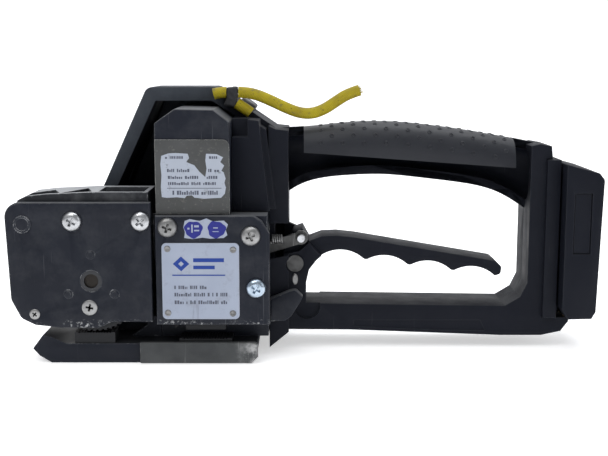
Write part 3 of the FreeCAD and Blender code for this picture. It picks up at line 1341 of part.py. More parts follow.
def button_bores():
    """Round holes through the sloping face for the buttons."""
    pieces = []
    for k in range(2):
        place = (s.handle_root_x - 17.5, 8.0 + 13.5 * k, s.handle_root_z + 12.6)
        hole = rod(f"button_hole_{k}", place, s.button_radius + s.side_gap, -9.0, 6.0, "Z")
        hole.Placement.Rotation = FreeCAD.Rotation(V(0, 1, 0), SLOPE)
        pieces.append(hole)
    return pieces


# ---------------------------------------------------------------- cord

CORD_PLANE = 14.8
CORD_TAIL = [
    # x, y, z of the free cord from the tie to its bare end
    (-41.5, -14.8, 152.6), (-35.8, -14.8, 152.4), (-29.2, -14.2, 150.6), (-21.6, -13.0, 147.2),
    (-13.8, -11.4, 143.4), (-6.2, -9.6, 140.4), (1.6, -8.0, 139.8), (9.2, -6.8, 142.6),
    (16.0, -6.2, 147.2), (22.6, -6.0, 151.4), (29.6, -6.0, 153.6),
]
CORD_STUB = [(-42.6, -14.8, 146.2), (-38.6, -14.8, 143.8), (-34.4, -14.8, 140.6)]
CORD_LOOP = [(-56.0, -14.8, 151.6), (-52.4, -14.8, 152.5), (-48.5, -14.8, 152.5)]


def cord_path(points):
    """Straight runs joined by tangent arcs, each as large as its two runs allow."""
    route = [V(*point) for point in points]
    edges = []
    radii = []
    start = route[0]
    for before, corner, after in zip(route, route[1:], route[2:]):
        back, ahead = before - corner, after - corner
        run = min(back.Length, ahead.Length) * 0.45
        u, w = back / back.Length, ahead / ahead.Length
        bend = math.pi - u.getAngle(w)
        radii.append(run / math.tan(bend / 2.0))
        first, last = corner + u * run, corner + w * run
        inward = (u + w) / (u + w).Length
        middle = corner + inward * (radii[-1] * (1.0 / math.cos(bend / 2.0) - 1.0))
        edges.append(Part.LineSegment(start, first).toShape())
        edges.append(Part.Arc(first, middle, last).toShape())
        start = last
    edges.append(Part.LineSegment(start, route[-1]).toShape())
    print("cord radii", [round(r, 1) for r in radii])
    return Part.Wire(edges)


def cord(label, points):
    path = cord_path(points)
    radius = number(s.cord_radius)
    start = V(*points[0])
    direction = V(*points[1]) - start
    section = Part.Wire([Part.Circle(start, direction, radius).toShape()])
    tube = path.makePipeShell([section], True, False)
    plain = math.pi * radius ** 2 * path.Length
    print(label, "length", round(path.Length, 1), "volume error", round(tube.Volume / plain - 1, 4))
    thing = doc.addObject("Part::Feature", label)
    thing.Shape = tube
    return thing


def cords():
    keep(cord("cord_tail", CORD_TAIL), "cord_tail")
    group("cord_loop", [cord("cord_loop_front", CORD_LOOP), cord("cord_loop_end", CORD_STUB)])
    knot = new_body("cord_tie")
    outline = [
        (-50.5, 145.0), (-48.5, 149.0), (-48.5, 156.0), (-41.5, 156.0), (-41.5, 149.4), (-43.4, 143.6),
    ]
    high = s.cord_radius + 0.4 - CORD_PLANE
    pad(knot, "Y", outline, high - 2.0 * s.cord_radius - 1.4, high)
    keep(knot, "cord_tie")


# ---------------------------------------------------------------- whole tool

def check_objects():
    """Stop if any object failed or any sub-part has no valid shape."""
    for thing in doc.Objects:
        if "Invalid" in thing.State or "Error" in thing.State:
            raise ValueError(f"{thing.Name} ({thing.Label}) is {thing.State}")
    for thing in nodes:
        if thing.Shape.isNull() or not thing.Shape.isValid() or not thing.Shape.Solids:
            raise ValueError(f"{thing.Label} has no valid solid")


def export_nodes():
    os.makedirs("parts", exist_ok=True)
    for thing in nodes:
        thing.Shape.exportStep(os.path.join("parts", thing.Label + ".step"))
    print(len(nodes), "sub-parts written")


rocker_plate()
rocker_casting()
rocker_back_plate()
rocker_small_pieces()
rocker_moving_pieces()
gear_case()
motor_block()
motor()
shafts()
weld_cover()
weld_head()
base()
housing()
drive_cover()
case_screws()
cam_cover()
lever()
link()
return_spring()
battery()
controls()
cords()
doc.recompute()
check_objects()
export_nodes()
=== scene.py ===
import json
import math
import random

import bmesh
import bpy
from mathutils import Euler, Matrix, Vector


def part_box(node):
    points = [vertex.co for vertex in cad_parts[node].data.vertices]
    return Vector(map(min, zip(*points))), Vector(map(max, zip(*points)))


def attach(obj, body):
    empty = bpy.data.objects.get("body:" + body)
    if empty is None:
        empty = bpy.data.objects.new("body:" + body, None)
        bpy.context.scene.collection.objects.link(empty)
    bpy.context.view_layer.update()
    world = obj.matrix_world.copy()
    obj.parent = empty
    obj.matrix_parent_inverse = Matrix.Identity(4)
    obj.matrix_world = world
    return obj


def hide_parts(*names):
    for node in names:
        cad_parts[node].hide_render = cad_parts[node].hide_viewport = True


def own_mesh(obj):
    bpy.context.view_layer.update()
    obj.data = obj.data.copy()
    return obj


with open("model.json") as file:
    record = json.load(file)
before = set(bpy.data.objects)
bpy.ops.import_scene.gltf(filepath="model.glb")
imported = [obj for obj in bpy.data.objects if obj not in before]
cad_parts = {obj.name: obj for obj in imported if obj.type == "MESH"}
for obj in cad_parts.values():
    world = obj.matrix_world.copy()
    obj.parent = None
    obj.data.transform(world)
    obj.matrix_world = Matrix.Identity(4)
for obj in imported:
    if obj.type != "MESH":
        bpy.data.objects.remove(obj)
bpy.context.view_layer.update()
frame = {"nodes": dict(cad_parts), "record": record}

MM = 0.001
record = frame["record"]
body_of = {n: body for body, names in record["behaviour"]["bodies"].items() for n in names}
slot_of = {row["node"]: row["material_slot"] for row in record["subparts"]}
scene = bpy.context.scene
dice = random.Random(7)


def mm(*values):
    """A point given in millimetres in the row frame."""
    return Vector(values) * MM


# ---------------------------------------------------------------- camera, floor and light

AIM = mm(-3.3, 0.0, 70.1)
DISTANCE = 0.64
ELEVATION = math.radians(9.0)
LENS_MM = 62.2
SENSOR_MM = 36.0


def camera():
    """The photo's view: level with the strap side, a little from above."""
    data = bpy.data.cameras.new("camera")
    data.lens = LENS_MM
    data.sensor_width = SENSOR_MM
    data.clip_start = 0.01
    eye = bpy.data.objects.new("camera", data)
    eye.location = AIM + DISTANCE * Vector((0.0, -math.cos(ELEVATION), math.sin(ELEVATION)))
    eye.rotation_euler = (math.pi / 2.0 - ELEVATION, 0.0, 0.0)
    scene.collection.objects.link(eye)
    scene.camera = eye


def backdrop():
    """A pale floor that curves up into a wall far behind the tool."""
    reach, bend_start, bend_radius, wall_top, steps = 9.0, 1.4, 1.2, 4.0, 12
    profile = [(-reach, 0.0), (bend_start, 0.0)]
    for k in range(1, steps + 1):
        turn = math.radians(90.0 * k / steps)
        across, rise = bend_radius * math.sin(turn), bend_radius * (1.0 - math.cos(turn))
        profile.append((bend_start + across, rise))
    profile.append((bend_start + bend_radius, wall_top))
    mesh = bpy.data.meshes.new("floor")
    points = [(x, y, z) for x in (-reach, reach) for y, z in profile]
    n = len(profile)
    mesh.from_pydata(points, [], [(k, k + 1, n + k + 1, n + k) for k in range(n - 1)])
    mesh.polygons.foreach_set("use_smooth", [True] * len(mesh.polygons))
    floor = bpy.data.objects.new("floor", mesh)
    scene.collection.objects.link(floor)
    paint = bpy.data.materials.new("floor")
    paint.use_nodes = True
    shader = paint.node_tree.nodes["Principled BSDF"]
    shader.inputs["Base Color"].default_value = (0.92, 0.92, 0.93, 1.0)
    shader.inputs["Roughness"].default_value = 0.9
    shader.inputs["Emission Color"].default_value = (1.0, 1.0, 1.0, 1.0)
    shader.inputs["Emission Strength"].default_value = 0.5
    mesh.materials.append(paint)


def area_light(name, place, size, power, tint):
    """A round soft light that looks at the tool."""
    data = bpy.data.lights.new(name, "AREA")
    data.shape = "DISK"
    data.size = size
    data.energy = power
    data.color = tint
    lamp = bpy.data.objects.new(name, data)
    lamp.location = place
    lamp.rotation_euler = (AIM - Vector(place)).to_track_quat("-Z", "Y").to_euler()
    scene.collection.objects.link(lamp)


def lights():
    """Soft light from above on both sides, and a pale world that fills the shadows."""
    scene.view_settings.view_transform = "Standard"
    area_light("key", (-0.5, -0.9, 1.5), 1.2, 11.0, (1.0, 0.99, 0.97))
    area_light("top", (0.15, 0.35, 1.5), 1.4, 15.0, (0.96, 0.98, 1.0))
    area_light("side", (1.3, -0.7, 0.6), 0.9, 1.6, (0.94, 0.97, 1.0))
    world = bpy.data.worlds.new("studio")
    scene.world = world
    world.use_nodes = True
    sky = world.node_tree.nodes["Background"]
    sky.inputs["Color"].default_value = (0.95, 0.97, 1.0, 1.0)
    sky.inputs["Strength"].default_value = 0.38


# ---------------------------------------------------------------- materials

class Paint:
    """One node material with short ways to add nodes; every length in it is in metres."""

    def __init__(self, name):
        self.material = bpy.data.materials.new(name)
        self.material.use_nodes = True
        self.tree = self.material.node_tree
        self.shader = self.tree.nodes["Principled BSDF"]
        self.place = self.tree.nodes.new("ShaderNodeTexCoord").outputs["Object"]
        self.surface = self.tree.nodes.new("ShaderNodeNewGeometry")

    def node(self, kind, settings=(), **inputs):
        """Add a node; inputs are named, or written _0, _1 for a socket's place in the list."""
        made = self.tree.nodes.new(kind)
        for name, value in dict(settings).items():
            setattr(made, name, value)
        for name, value in inputs.items():
            key = int(name[1:]) if name[1:].isdigit() else name
            self.feed(made.inputs[key], value)
        return made

    def feed(self, socket, value):
        """Link a node's output to a socket, or set the socket to a plain value."""
        if isinstance(value, bpy.types.NodeSocket):
            self.tree.links.new(value, socket)
        else:
            socket.default_value = value

    def math(self, kind, a, b):
        settings = {"operation": kind, "use_clamp": kind in ("ADD", "SUBTRACT", "MULTIPLY")}
        return self.node("ShaderNodeMath", settings, _0=a, _1=b).outputs[0]

    def noise(self, scale, detail=3.0, stretch=None, rough=0.55):
        """Cloudy noise in object space; stretch is a turn and three factors."""
        place = self.place
        if stretch:
            turn, factors = stretch
            place = self.node("ShaderNodeMapping", _0=place, _2=turn, _3=factors).outputs[0]
        return self.node(
            "ShaderNodeTexNoise", Vector=place, Scale=scale, Detail=detail, Roughness=rough
        ).outputs[0]

    def ramp(self, value, low, high):
        """0 below low, 1 above high, a straight line between them."""
        return self.node("ShaderNodeMapRange", _0=value, _1=low, _2=high, _3=0.0, _4=1.0).outputs[0]

    def mix(self, share, a, b):
        return self.node("ShaderNodeMix", {"data_type": "RGBA"}, _0=share, _6=a, _7=b).outputs[2]

    def blend(self, share, a, b):
        return self.node("ShaderNodeMix", {"data_type": "FLOAT"}, _0=share, _2=a, _3=b).outputs[0]

    def edges(self, radius, low, high):
        """1 close to a sharp edge, 0 on open faces."""
        round_over = self.node("ShaderNodeBevel", {"samples": 6}, Radius=radius).outputs[0]
        facing = self.surface.outputs["Normal"]
        dot = self.node("ShaderNodeVectorMath", {"operation": "DOT_PRODUCT"}, _0=round_over, _1=facing)
        return self.ramp(self.math("SUBTRACT", 1.0, dot.outputs["Value"]), low, high)

    def upward(self):
        """1 on faces that look up."""
        part = self.node("ShaderNodeSeparateXYZ", _0=self.surface.outputs["Normal"])
        return self.ramp(part.outputs["Z"], 0.35, 1.0)

    def relief(self, height, depth, radius=0.0):
        """The shader's normal: a fine bump over edges rounded by a radius."""
        inputs = {"Height": height, "Distance": depth, "Strength": 1.0}
        if radius:
            inputs["Normal"] = self.node("ShaderNodeBevel", {"samples": 4}, Radius=radius).outputs[0]
        self.feed(self.shader.inputs["Normal"], self.node("ShaderNodeBump", **inputs).outputs[0])

    def finish(self, color, roughness, metallic=0.0, gloss=0.3):
        self.shader.inputs["Specular IOR Level"].default_value = gloss
        self.feed(self.shader.inputs["Base Color"], color)
        self.feed(self.shader.inputs["Roughness"], roughness)
        self.feed(self.shader.inputs["Metallic"], metallic)
        return self.material


def rgb(r, g, b):
    return (r, g, b, 1.0)


def darker(color, factor):
    """The same colour, scaled down."""
    return [v * factor for v in color[:3]] + [1.0]


BLUE_BLACK = rgb(0.0095, 0.012, 0.0205)
CHIP = rgb(0.48, 0.49, 0.50)


def scratches(p, amount):
    """Fine straight scratches in three directions."""
    lines = None
    for k, (turn, stretch) in enumerate(((0.5, 60.0), (-0.9, 45.0), (1.7, 70.0))):
        grain = p.noise(14.0, 2.0, (Euler((0.0, turn, 0.3 * k)), (stretch, 3.0, 1.3)))
        line = p.ramp(grain, 0.715 - 0.03 * amount, 0.76 - 0.03 * amount)
        lines = line if lines is None else p.math("MAXIMUM", lines, line)
    patches = p.ramp(p.noise(30.0, 2.0), 0.42, 0.62)
    return p.math("MULTIPLY", lines, patches)


def painted_metal(name, base, wear, low_wear=0.0, dust_and_top_tone=0.16):
    """Dark painted casting: dust, faces that look up mixed toward a paler tone, scratches, and paint chipped
    off along the edges.

    low_wear is the height below which the paint is flaked too.
    """
    p = Paint(name)
    cloud = p.noise(22.0, 5.0)
    fine = p.noise(1500.0, 2.0)
    dust = p.math("MULTIPLY", p.ramp(p.noise(55.0, 6.0, None, 0.65), 0.45, 0.75), 0.12)
    # Faces that look up are mixed more than half way toward the pale tone that the random dust also takes.
    up_share = p.math("MULTIPLY", p.upward(), 0.55)
    color = p.mix(p.ramp(cloud, 0.3, 0.7), darker(base, 0.82), base)
    dust_and_top_color = rgb(dust_and_top_tone, dust_and_top_tone * 1.03, dust_and_top_tone * 1.08)
    color = p.mix(p.math("ADD", dust, up_share), color, dust_and_top_color)
    edge = p.edges(0.0011, 0.015, 0.16)
    chips = p.ramp(p.noise(320.0, 6.0, None, 0.7), 0.62 - wear, 0.66 - wear)
    broad = p.ramp(p.noise(60.0, 3.0), 0.40, 0.60)
    chipped = p.math("MULTIPLY", p.math("MULTIPLY", edge, chips), broad)
    if low_wear:
        part = p.node("ShaderNodeSeparateXYZ", _0=p.place)
        near = p.ramp(part.outputs["Z"], low_wear + 0.0024, low_wear - 0.0005)
        flakes = p.ramp(p.noise(420.0, 5.0, None, 0.7), 0.54, 0.62)
        zones = p.math("MULTIPLY", p.ramp(p.noise(48.0, 2.0), 0.40, 0.52), 0.8)
        flaked = p.math("MULTIPLY", p.math("MULTIPLY", near, flakes), zones)
        chipped = p.math("MAXIMUM", chipped, flaked)
    rub = p.math("MULTIPLY", edge, 0.36)
    color = p.mix(rub, color, rgb(0.12, 0.13, 0.15))
    color = p.mix(p.math("MULTIPLY", scratches(p, 0.35), 0.22), color, rgb(0.2, 0.21, 0.23))
    color = p.mix(chipped, color, CHIP)
    roughness = p.blend(p.ramp(cloud, 0.3, 0.7), 0.43, 0.57)
    height = p.math("SUBTRACT", p.math("MULTIPLY", fine, 0.6), p.math("MULTIPLY", chipped, 0.5))
    p.relief(height, 0.00005, 0.00045)
    metallic = p.math("MULTIPLY", chipped, 0.8)
    return p.finish(color, p.blend(chipped, roughness, 0.38), metallic, 0.2)


def moulded_plastic(name, base):
    """Spark-textured black plastic, rubbed along its edges, and paler grey on the faces of the hood's arch
    that look to the front or up.
    """
    p = Paint(name)
    cloud = p.noise(14.0, 5.0)
    speck = p.noise(1900.0, 2.0)
    color = p.mix(p.ramp(cloud, 0.3, 0.7), darker(base, 0.8), base)
    patchy = p.math("MULTIPLY", p.upward(), p.ramp(p.noise(40.0, 6.0), 0.3, 0.8))
    color = p.mix(p.math("MULTIPLY", patchy, 0.05), color, rgb(0.16, 0.165, 0.175))
    place = p.node("ShaderNodeSeparateXYZ", _0=p.place)
    facing = p.node("ShaderNodeSeparateXYZ", _0=p.surface.outputs["Normal"])
    # The hood's arch is mixed toward a paler grey in mottled amounts, only where its faces look to the front
    # or up; its side facets keep the plain colour.
    ahead = p.ramp(place.outputs["X"], -0.048, -0.052)
    above = p.ramp(place.outputs["Z"], 0.088, 0.092)
    arch = p.math("MULTIPLY", ahead, above)
    looks_front = p.ramp(facing.outputs["Y"], -0.9, -0.97)
    looks_up = p.ramp(facing.outputs["Z"], 0.85, 0.97)
    shown = p.math("MULTIPLY", arch, p.math("MAXIMUM", looks_front, looks_up))
    arch_paling = p.blend(p.ramp(p.noise(70.0, 6.0, None, 0.65), 0.3, 0.7), 0.5, 0.8)
    color = p.mix(p.math("MULTIPLY", shown, arch_paling), color, rgb(0.065, 0.075, 0.09))
    edge = p.math("MULTIPLY", p.edges(0.0012, 0.02, 0.25), 0.35)
    color = p.mix(edge, color, rgb(0.06, 0.065, 0.075))
    color = p.mix(p.math("MULTIPLY", scratches(p, 0.0), 0.2), color, rgb(0.1, 0.105, 0.115))
    p.relief(speck, 0.00006, 0.0006)
    roughness = p.blend(p.ramp(p.noise(90.0, 4.0), 0.3, 0.7), 0.54, 0.68)
    return p.finish(color, roughness, gloss=0.16)


def soft_rubber(name, base):
    """Matte grip rubber, polished where the hand rubs."""
    p = Paint(name)
    hand = p.ramp(p.noise(20.0, 4.0), 0.35, 0.7)
    color = p.mix(hand, base, rgb(0.022, 0.024, 0.030))
    p.relief(p.noise(2600.0, 2.0), 0.00003)
    return p.finish(color, p.blend(hand, 0.42, 0.55))


def steel(name, base, rough, stain=0.3, brushed=0.5):
    """Bare steel with turning marks, stains and small nicks."""
    p = Paint(name)
    marks = p.noise(90.0, 3.0, (Euler((0.0, 0.2, 0.0)), (1.0, 1.0, 22.0)))
    cloud = p.ramp(p.noise(160.0, 5.0), 0.4, 0.72)
    dark = darker(base, 0.35)
    color = p.mix(p.math("MULTIPLY", cloud, stain), base, dark)
    color = p.mix(p.math("MULTIPLY", scratches(p, 0.6), 0.5), color, rgb(0.8, 0.8, 0.8))
    p.relief(p.math("ADD", p.math("MULTIPLY", marks, brushed), p.noise(900.0, 2.0)), 0.00002, 0.0003)
    return p.finish(color, p.blend(cloud, rough, rough + 0.2), 1.0)


def scuffed_steel(name):
    """The strap guide's side block: darkened steel, scratched bright near its rear end."""
    p = Paint(name)
    part = p.node("ShaderNodeSeparateXYZ", _0=p.place)
    rear = p.ramp(part.outputs["X"], -0.043, -0.032)
    blotch = p.ramp(p.noise(150.0, 6.0, None, 0.7), 0.42, 0.62)
    color = p.mix(p.ramp(p.noise(60.0, 5.0), 0.3, 0.7), rgb(0.052, 0.055, 0.058), rgb(0.085, 0.09, 0.092))
    bright = p.math("MAXIMUM", p.math("MULTIPLY", rear, blotch), p.math("MULTIPLY", scratches(p, 0.8), 0.6))
    edge = p.math("MULTIPLY", p.edges(0.0012, 0.02, 0.2), p.ramp(p.noise(300.0, 5.0), 0.42, 0.6))
    bright = p.math("MAXIMUM", bright, edge)
    color = p.mix(p.math("MULTIPLY", bright, 0.75), color, rgb(0.5, 0.5, 0.5))
    p.relief(p.noise(700.0, 4.0), 0.00006, 0.0004)
    return p.finish(color, p.blend(bright, 0.55, 0.36), p.blend(bright, 0.5, 0.95))


def plate_metal(name):
    """Silver-white nameplate, with rubbed scratches and grime in its lower corner."""
    p = Paint(name)
    part = p.node("ShaderNodeSeparateXYZ", _0=p.place)
    low = p.ramp(part.outputs["Z"], 0.048, 0.03)
    grime = p.ramp(p.noise(140.0, 6.0, None, 0.7), 0.55, 0.68)
    streak = p.noise(26.0, 4.0, (Euler((0.0, 0.15, 0.0)), (9.0, 1.0, 1.0)))
    streaks = p.math("MULTIPLY", p.ramp(streak, 0.6, 0.68), low)
    color = p.mix(p.noise(60.0, 3.0), rgb(0.29, 0.33, 0.42), rgb(0.36, 0.40, 0.49))
    color = p.mix(p.math("MULTIPLY", grime, 0.3), color, rgb(0.2, 0.21, 0.23))
    color = p.mix(p.math("MULTIPLY", streaks, 0.6), color, rgb(0.17, 0.18, 0.2))
    color = p.mix(p.math("MULTIPLY", p.edges(0.0008, 0.02, 0.2), 0.4), color, rgb(0.3, 0.3, 0.32))
    p.relief(p.noise(1100.0, 3.0), 0.00002, 0.0003)
    return p.finish(color, p.blend(p.noise(80.0, 3.0), 0.32, 0.5), 0.35)


def olive_plate(name):
    """The brownish-grey anodised plate above, dulled and speckled."""
    p = Paint(name)
    cloud = p.ramp(p.noise(45.0, 5.0), 0.3, 0.7)
    color = p.mix(cloud, rgb(0.060, 0.062, 0.062), rgb(0.085, 0.088, 0.090))
    color = p.mix(p.math("MULTIPLY", p.ramp(p.noise(600.0, 4.0), 0.6, 0.7), 0.4), color, rgb(0.2, 0.2, 0.18))
    edge = p.math("MULTIPLY", p.edges(0.0009, 0.02, 0.2), p.ramp(p.noise(260.0, 4.0), 0.4, 0.55))
    color = p.mix(p.math("MULTIPLY", edge, 0.8), color, rgb(0.5, 0.5, 0.48))
    p.relief(p.noise(1300.0, 2.0), 0.00003, 0.0003)
    return p.finish(color, p.blend(cloud, 0.42, 0.58), 0.25)


def paper(name, base, stain):
    """Printed film or paper: slightly yellowed, with dirt specks."""
    p = Paint(name)
    dirt = p.ramp(p.noise(260.0, 6.0, None, 0.7), 0.58, 0.7)
    color = p.mix(p.noise(70.0, 3.0), base, darker(base, 0.86))
    color = p.mix(p.math("MULTIPLY", dirt, stain), color, rgb(0.1, 0.1, 0.1))
    p.relief(p.noise(900.0, 3.0), 0.00002)
    return p.finish(color, p.blend(p.noise(120.0, 2.0), 0.45, 0.62))


def cord_cover(name):
    """Yellow sleeve of the cord: fine mesh, soot and oil stains, worn fibres."""
    p = Paint(name)
    weave = p.node(
        "ShaderNodeTexWave", {"wave_type": "BANDS", "bands_direction": "DIAGONAL"},
        Vector=p.place, Scale=420.0, Distortion=1.5, Detail=1.0,
    ).outputs[1]
    cloud = p.ramp(p.noise(90.0, 5.0), 0.35, 0.65)
    color = p.mix(cloud, rgb(0.31, 0.24, 0.006), rgb(0.44, 0.36, 0.010))
    color = p.mix(p.math("MULTIPLY", weave, 0.3), color, rgb(0.19, 0.14, 0.008))
    dirt = p.ramp(p.noise(230.0, 6.0, None, 0.7), 0.54, 0.66)
    color = p.mix(p.math("MULTIPLY", dirt, 0.62), color, rgb(0.10, 0.085, 0.05))
    specks = p.ramp(p.noise(700.0, 2.0), 0.68, 0.72)
    color = p.mix(p.math("MULTIPLY", specks, 0.8), color, rgb(0.02, 0.02, 0.02))
    p.relief(p.math("ADD", p.math("MULTIPLY", weave, 0.5), p.noise(800.0, 4.0)), 0.00018)
    return p.finish(color, p.blend(cloud, 0.55, 0.75))


def plain(name, base, rough, metallic=0.0, scale=300.0):
    """A small piece's finish: colour that drifts a little, with a fine grain."""
    p = Paint(name)
    cloud = p.noise(scale, 4.0)
    color = p.mix(cloud, darker(base, 0.7), base)
    p.relief(p.noise(scale * 6.0, 2.0), 0.00003)
    return p.finish(color, p.blend(cloud, rough - 0.06, rough + 0.1), metallic)


paints = {
    "black_casting": painted_metal("black_casting", BLUE_BLACK, 0.06),
    "rocker_paint": painted_metal("rocker_paint", BLUE_BLACK, 0.13, low_wear=0.0245),
    "cover_paint": painted_metal("cover_paint", BLUE_BLACK, 0.19, low_wear=0.0245),
    "block_paint": painted_metal("block_paint", BLUE_BLACK, 0.16),
    "dust_and_pale_top_paint": painted_metal("dust_and_pale_top_paint", rgb(0.02, 0.022, 0.027), 0.08, dust_and_top_tone=0.5),
    "black_plastic": moulded_plastic("black_plastic", rgb(0.0060, 0.0075, 0.0135)),
    "grip_rubber": soft_rubber("grip_rubber", rgb(0.009, 0.010, 0.015)),
    "base_paint": painted_metal("base_paint", BLUE_BLACK, 0.1, dust_and_top_tone=0.045),
    "shaft_brown": plain("shaft_brown", rgb(0.03, 0.026, 0.023), 0.45, 0.6),
    "shaft_ring": plain("shaft_ring", rgb(0.055, 0.057, 0.062), 0.4, 0.8),
    "oily_steel": plain("oily_steel", rgb(0.026, 0.027, 0.030), 0.55, 0.3),
    "steel": steel("steel", rgb(0.34, 0.34, 0.34), 0.34),
    "bright_steel": steel("bright_steel", rgb(0.52, 0.53, 0.55), 0.24, 0.5, 0.2),
    "dull_steel": steel("dull_steel", rgb(0.27, 0.27, 0.27), 0.4, 0.7),
    "zinc_steel": steel("zinc_steel", rgb(0.45, 0.54, 0.64), 0.2, 0.3, 0.2),
    "dark_steel": steel("dark_steel", rgb(0.10, 0.10, 0.10), 0.42, 0.5),
    "side_block": scuffed_steel("side_block"),
    "bare_aluminium": steel("bare_aluminium", rgb(0.55, 0.56, 0.57), 0.4),
    "plate_print": plate_metal("plate_print"),
    "olive_plate": olive_plate("olive_plate"),
    "belt_rubber": plain("belt_rubber", rgb(0.012, 0.012, 0.012), 0.6),
    "tape": plain("tape", rgb(0.030, 0.031, 0.034), 0.5, 0.0, 500.0),
    "brass": plain("brass", rgb(0.42, 0.30, 0.12), 0.35, 1.0),
    "board_green": plain("board_green", rgb(0.02, 0.10, 0.04), 0.5),
    "cell_wrap": plain("cell_wrap", rgb(0.06, 0.12, 0.2), 0.4),
    "button_grey": plain("button_grey", rgb(0.10, 0.10, 0.105), 0.5),
    "cord_yellow": cord_cover("cord_yellow"),
    "label_white": paper("label_white", rgb(0.41, 0.45, 0.53), 0.6),
    "sticker_white": paper("sticker_white", rgb(0.36, 0.40, 0.50), 0.4),
    "print_blue": plain("print_blue", rgb(0.012, 0.05, 0.30), 0.45, 0.0, 900.0),
    "print_violet": plain("print_violet", rgb(0.02, 0.025, 0.24), 0.45, 0.0, 700.0),
    "print_grey": plain("print_grey", rgb(0.10, 0.11, 0.15), 0.5, 0.0, 900.0),
}
own_paint = {
    "rocker_plate": "rocker_paint", "weld_cover": "cover_paint", "base_side_block": "side_block",
    "cord_tie": "tape", "motor_block": "block_paint", "rocker_casting": "dust_and_pale_top_paint",
    "rocker_pins": "rocker_paint", "sun_shaft_bushes": "shaft_ring", "sun_shaft": "shaft_brown",
    "pull_link": "dark_steel", "base_plate": "base_paint", "gripper_plate": "oily_steel",
    "weld_anvil": "oily_steel", "weld_carrier": "oily_steel", "weld_shoe": "oily_steel",
    "feed_wheel": "oily_steel", "strap_cutter": "oily_steel",
}


def paint_of(node):
    """The name of a CAD node's paint: its own, or else its material slot's."""
    return own_paint.get(node, slot_of[node])


def paint_nodes():
    """Give every CAD node its paint."""
    for name, thing in frame["nodes"].items():
        for slot in thing.material_slots:
            slot.material = paints[paint_of(name)]


# ---------------------------------------------------------------- mesh helpers

def add_piece(name, mesh, body, paint):
    """A finished mesh becomes a piece that rides on a body."""
    mesh.materials.clear()
    mesh.materials.append(paints[paint])
    piece = bpy.data.objects.new(name, mesh)
    scene.collection.objects.link(piece)
    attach(piece, body)
    return piece


def mesh_from(name, bm, smooth_angle=35.0):
    """A shaded mesh, with edges sharper than the angle in degrees left sharp."""
    mesh = bpy.data.meshes.new(name)
    bmesh.ops.recalc_face_normals(bm, faces=bm.faces)
    bm.to_mesh(mesh)
    bm.free()
    mesh.polygons.foreach_set("use_smooth", [True] * len(mesh.polygons))
    mesh.set_sharp_from_angle(angle=math.radians(smooth_angle))
    return mesh


def baked(thing):
    """The mesh of an object with its modifiers applied."""
    bpy.context.view_layer.update()
    depsgraph = bpy.context.evaluated_depsgraph_get()
    return bpy.data.meshes.new_from_object(thing.evaluated_get(depsgraph))


def whole_faces(node):
    """A CAD node's mesh with the triangles of each flat face merged into one face."""
    bm = bmesh.new()
    bm.from_mesh(frame["nodes"][node].data)
    bmesh.ops.remove_doubles(bm, verts=bm.verts, dist=0.000002)
    bmesh.ops.dissolve_limit(bm, angle_limit=math.radians(1.0), verts=bm.verts, edges=bm.edges)
    return bm


def lathe(profile, steps=40):
    """A turned shape about the Y axis from (station, radius) pairs."""
    bm = bmesh.new()
    rings = []
    for y, r in profile:
        if r < 1e-9:
            rings.append([bm.verts.new((0.0, y, 0.0))])
            continue
        turns = [2.0 * math.pi * k / steps for k in range(steps)]
        rings.append([bm.verts.new((r * math.cos(a), y, r * math.sin(a))) for a in turns])
    for a, b in zip(rings, rings[1:]):
        for k in range(steps):
            j = (k + 1) % steps
            corners = [a[k % len(a)], a[j % len(a)], b[j % len(b)], b[k % len(b)]]
            unique = [v for i, v in enumerate(corners) if v not in corners[:i]]
            if len(unique) > 2:
                bm.faces.new(unique)
    return bm


def cut_with(piece, cutter):
    """Subtract one mesh object from another and drop the cutter."""
    change = piece.modifiers.new("cut", "BOOLEAN")
    change.object = cutter
    change.solver = "EXACT"
    done = baked(piece)
    piece.modifiers.clear()
    piece.data = done
    bpy.data.objects.remove(cutter)


def blade_cutter(radius, depth, turn, height):
    """One tapered blade whose middle lies at the top of a screw's head."""
    bm = bmesh.new()
    bmesh.ops.create_cube(bm, size=1.0)
    for v in bm.verts:
        narrow = 0.55 if v.co.y > 0.0 else 1.0
        wide, thick = 2.0 * radius * narrow, 0.5 * radius * narrow
        v.co = Vector((v.co.x * wide, v.co.y * 2.0 * depth, v.co.z * thick))
    bmesh.ops.rotate(bm, verts=bm.verts, matrix=Matrix.Rotation(turn, 3, "Y"))
    bmesh.ops.translate(bm, verts=bm.verts, vec=(0.0, -height, 0.0))
    blade = bpy.data.objects.new("blade", mesh_from("blade", bm))
    scene.collection.objects.link(blade)
    return blade


def cross_screw(name, place, radius, height, body, paint, turn, depth=None):
    """A domed screw head with a cross recess, its face looking along -Y."""
    dome = [(0.0, 0.0), (0.0, radius), (-0.18 * height, radius)]
    for k in range(1, 9):
        angle = math.radians(90.0 * k / 8.0)
        out = radius * (0.45 + 0.55 * math.cos(angle))
        dome.append((-height * (0.18 + 0.82 * math.sin(angle)), out))
    dome.append((-height, 0.0))
    head = bpy.data.objects.new(name, mesh_from(name, lathe(dome)))
    scene.collection.objects.link(head)
    for angle in (turn, turn + math.pi / 2.0):
        cut_with(head, blade_cutter(0.64 * radius, depth or 0.75 * height, angle, height))
    mesh = head.data
    mesh.transform(Matrix.Translation(place))
    mesh.set_sharp_from_angle(angle=math.radians(35.0))
    bpy.data.objects.remove(head)
    return add_piece(name, mesh, body, paint)


def sheet_outline(name, outline, front, thick, paint):
    """A thin flat piece on the head that faces -Y, from an outline of (x, z) millimetres."""
    bm = bmesh.new()
    verts = [bm.verts.new((x * MM, front, z * MM)) for x, z in outline]
    face = bm.faces.new(verts)
    made = bmesh.ops.extrude_face_region(bm, geom=[face])
    moved = [v for v in made["geom"] if isinstance(v, bmesh.types.BMVert)]
    bmesh.ops.translate(bm, verts=moved, vec=(0.0, thick, 0.0))
    bmesh.ops.triangulate(bm, faces=bm.faces)
    return add_piece(name, mesh_from(name, bm), "root", paint)


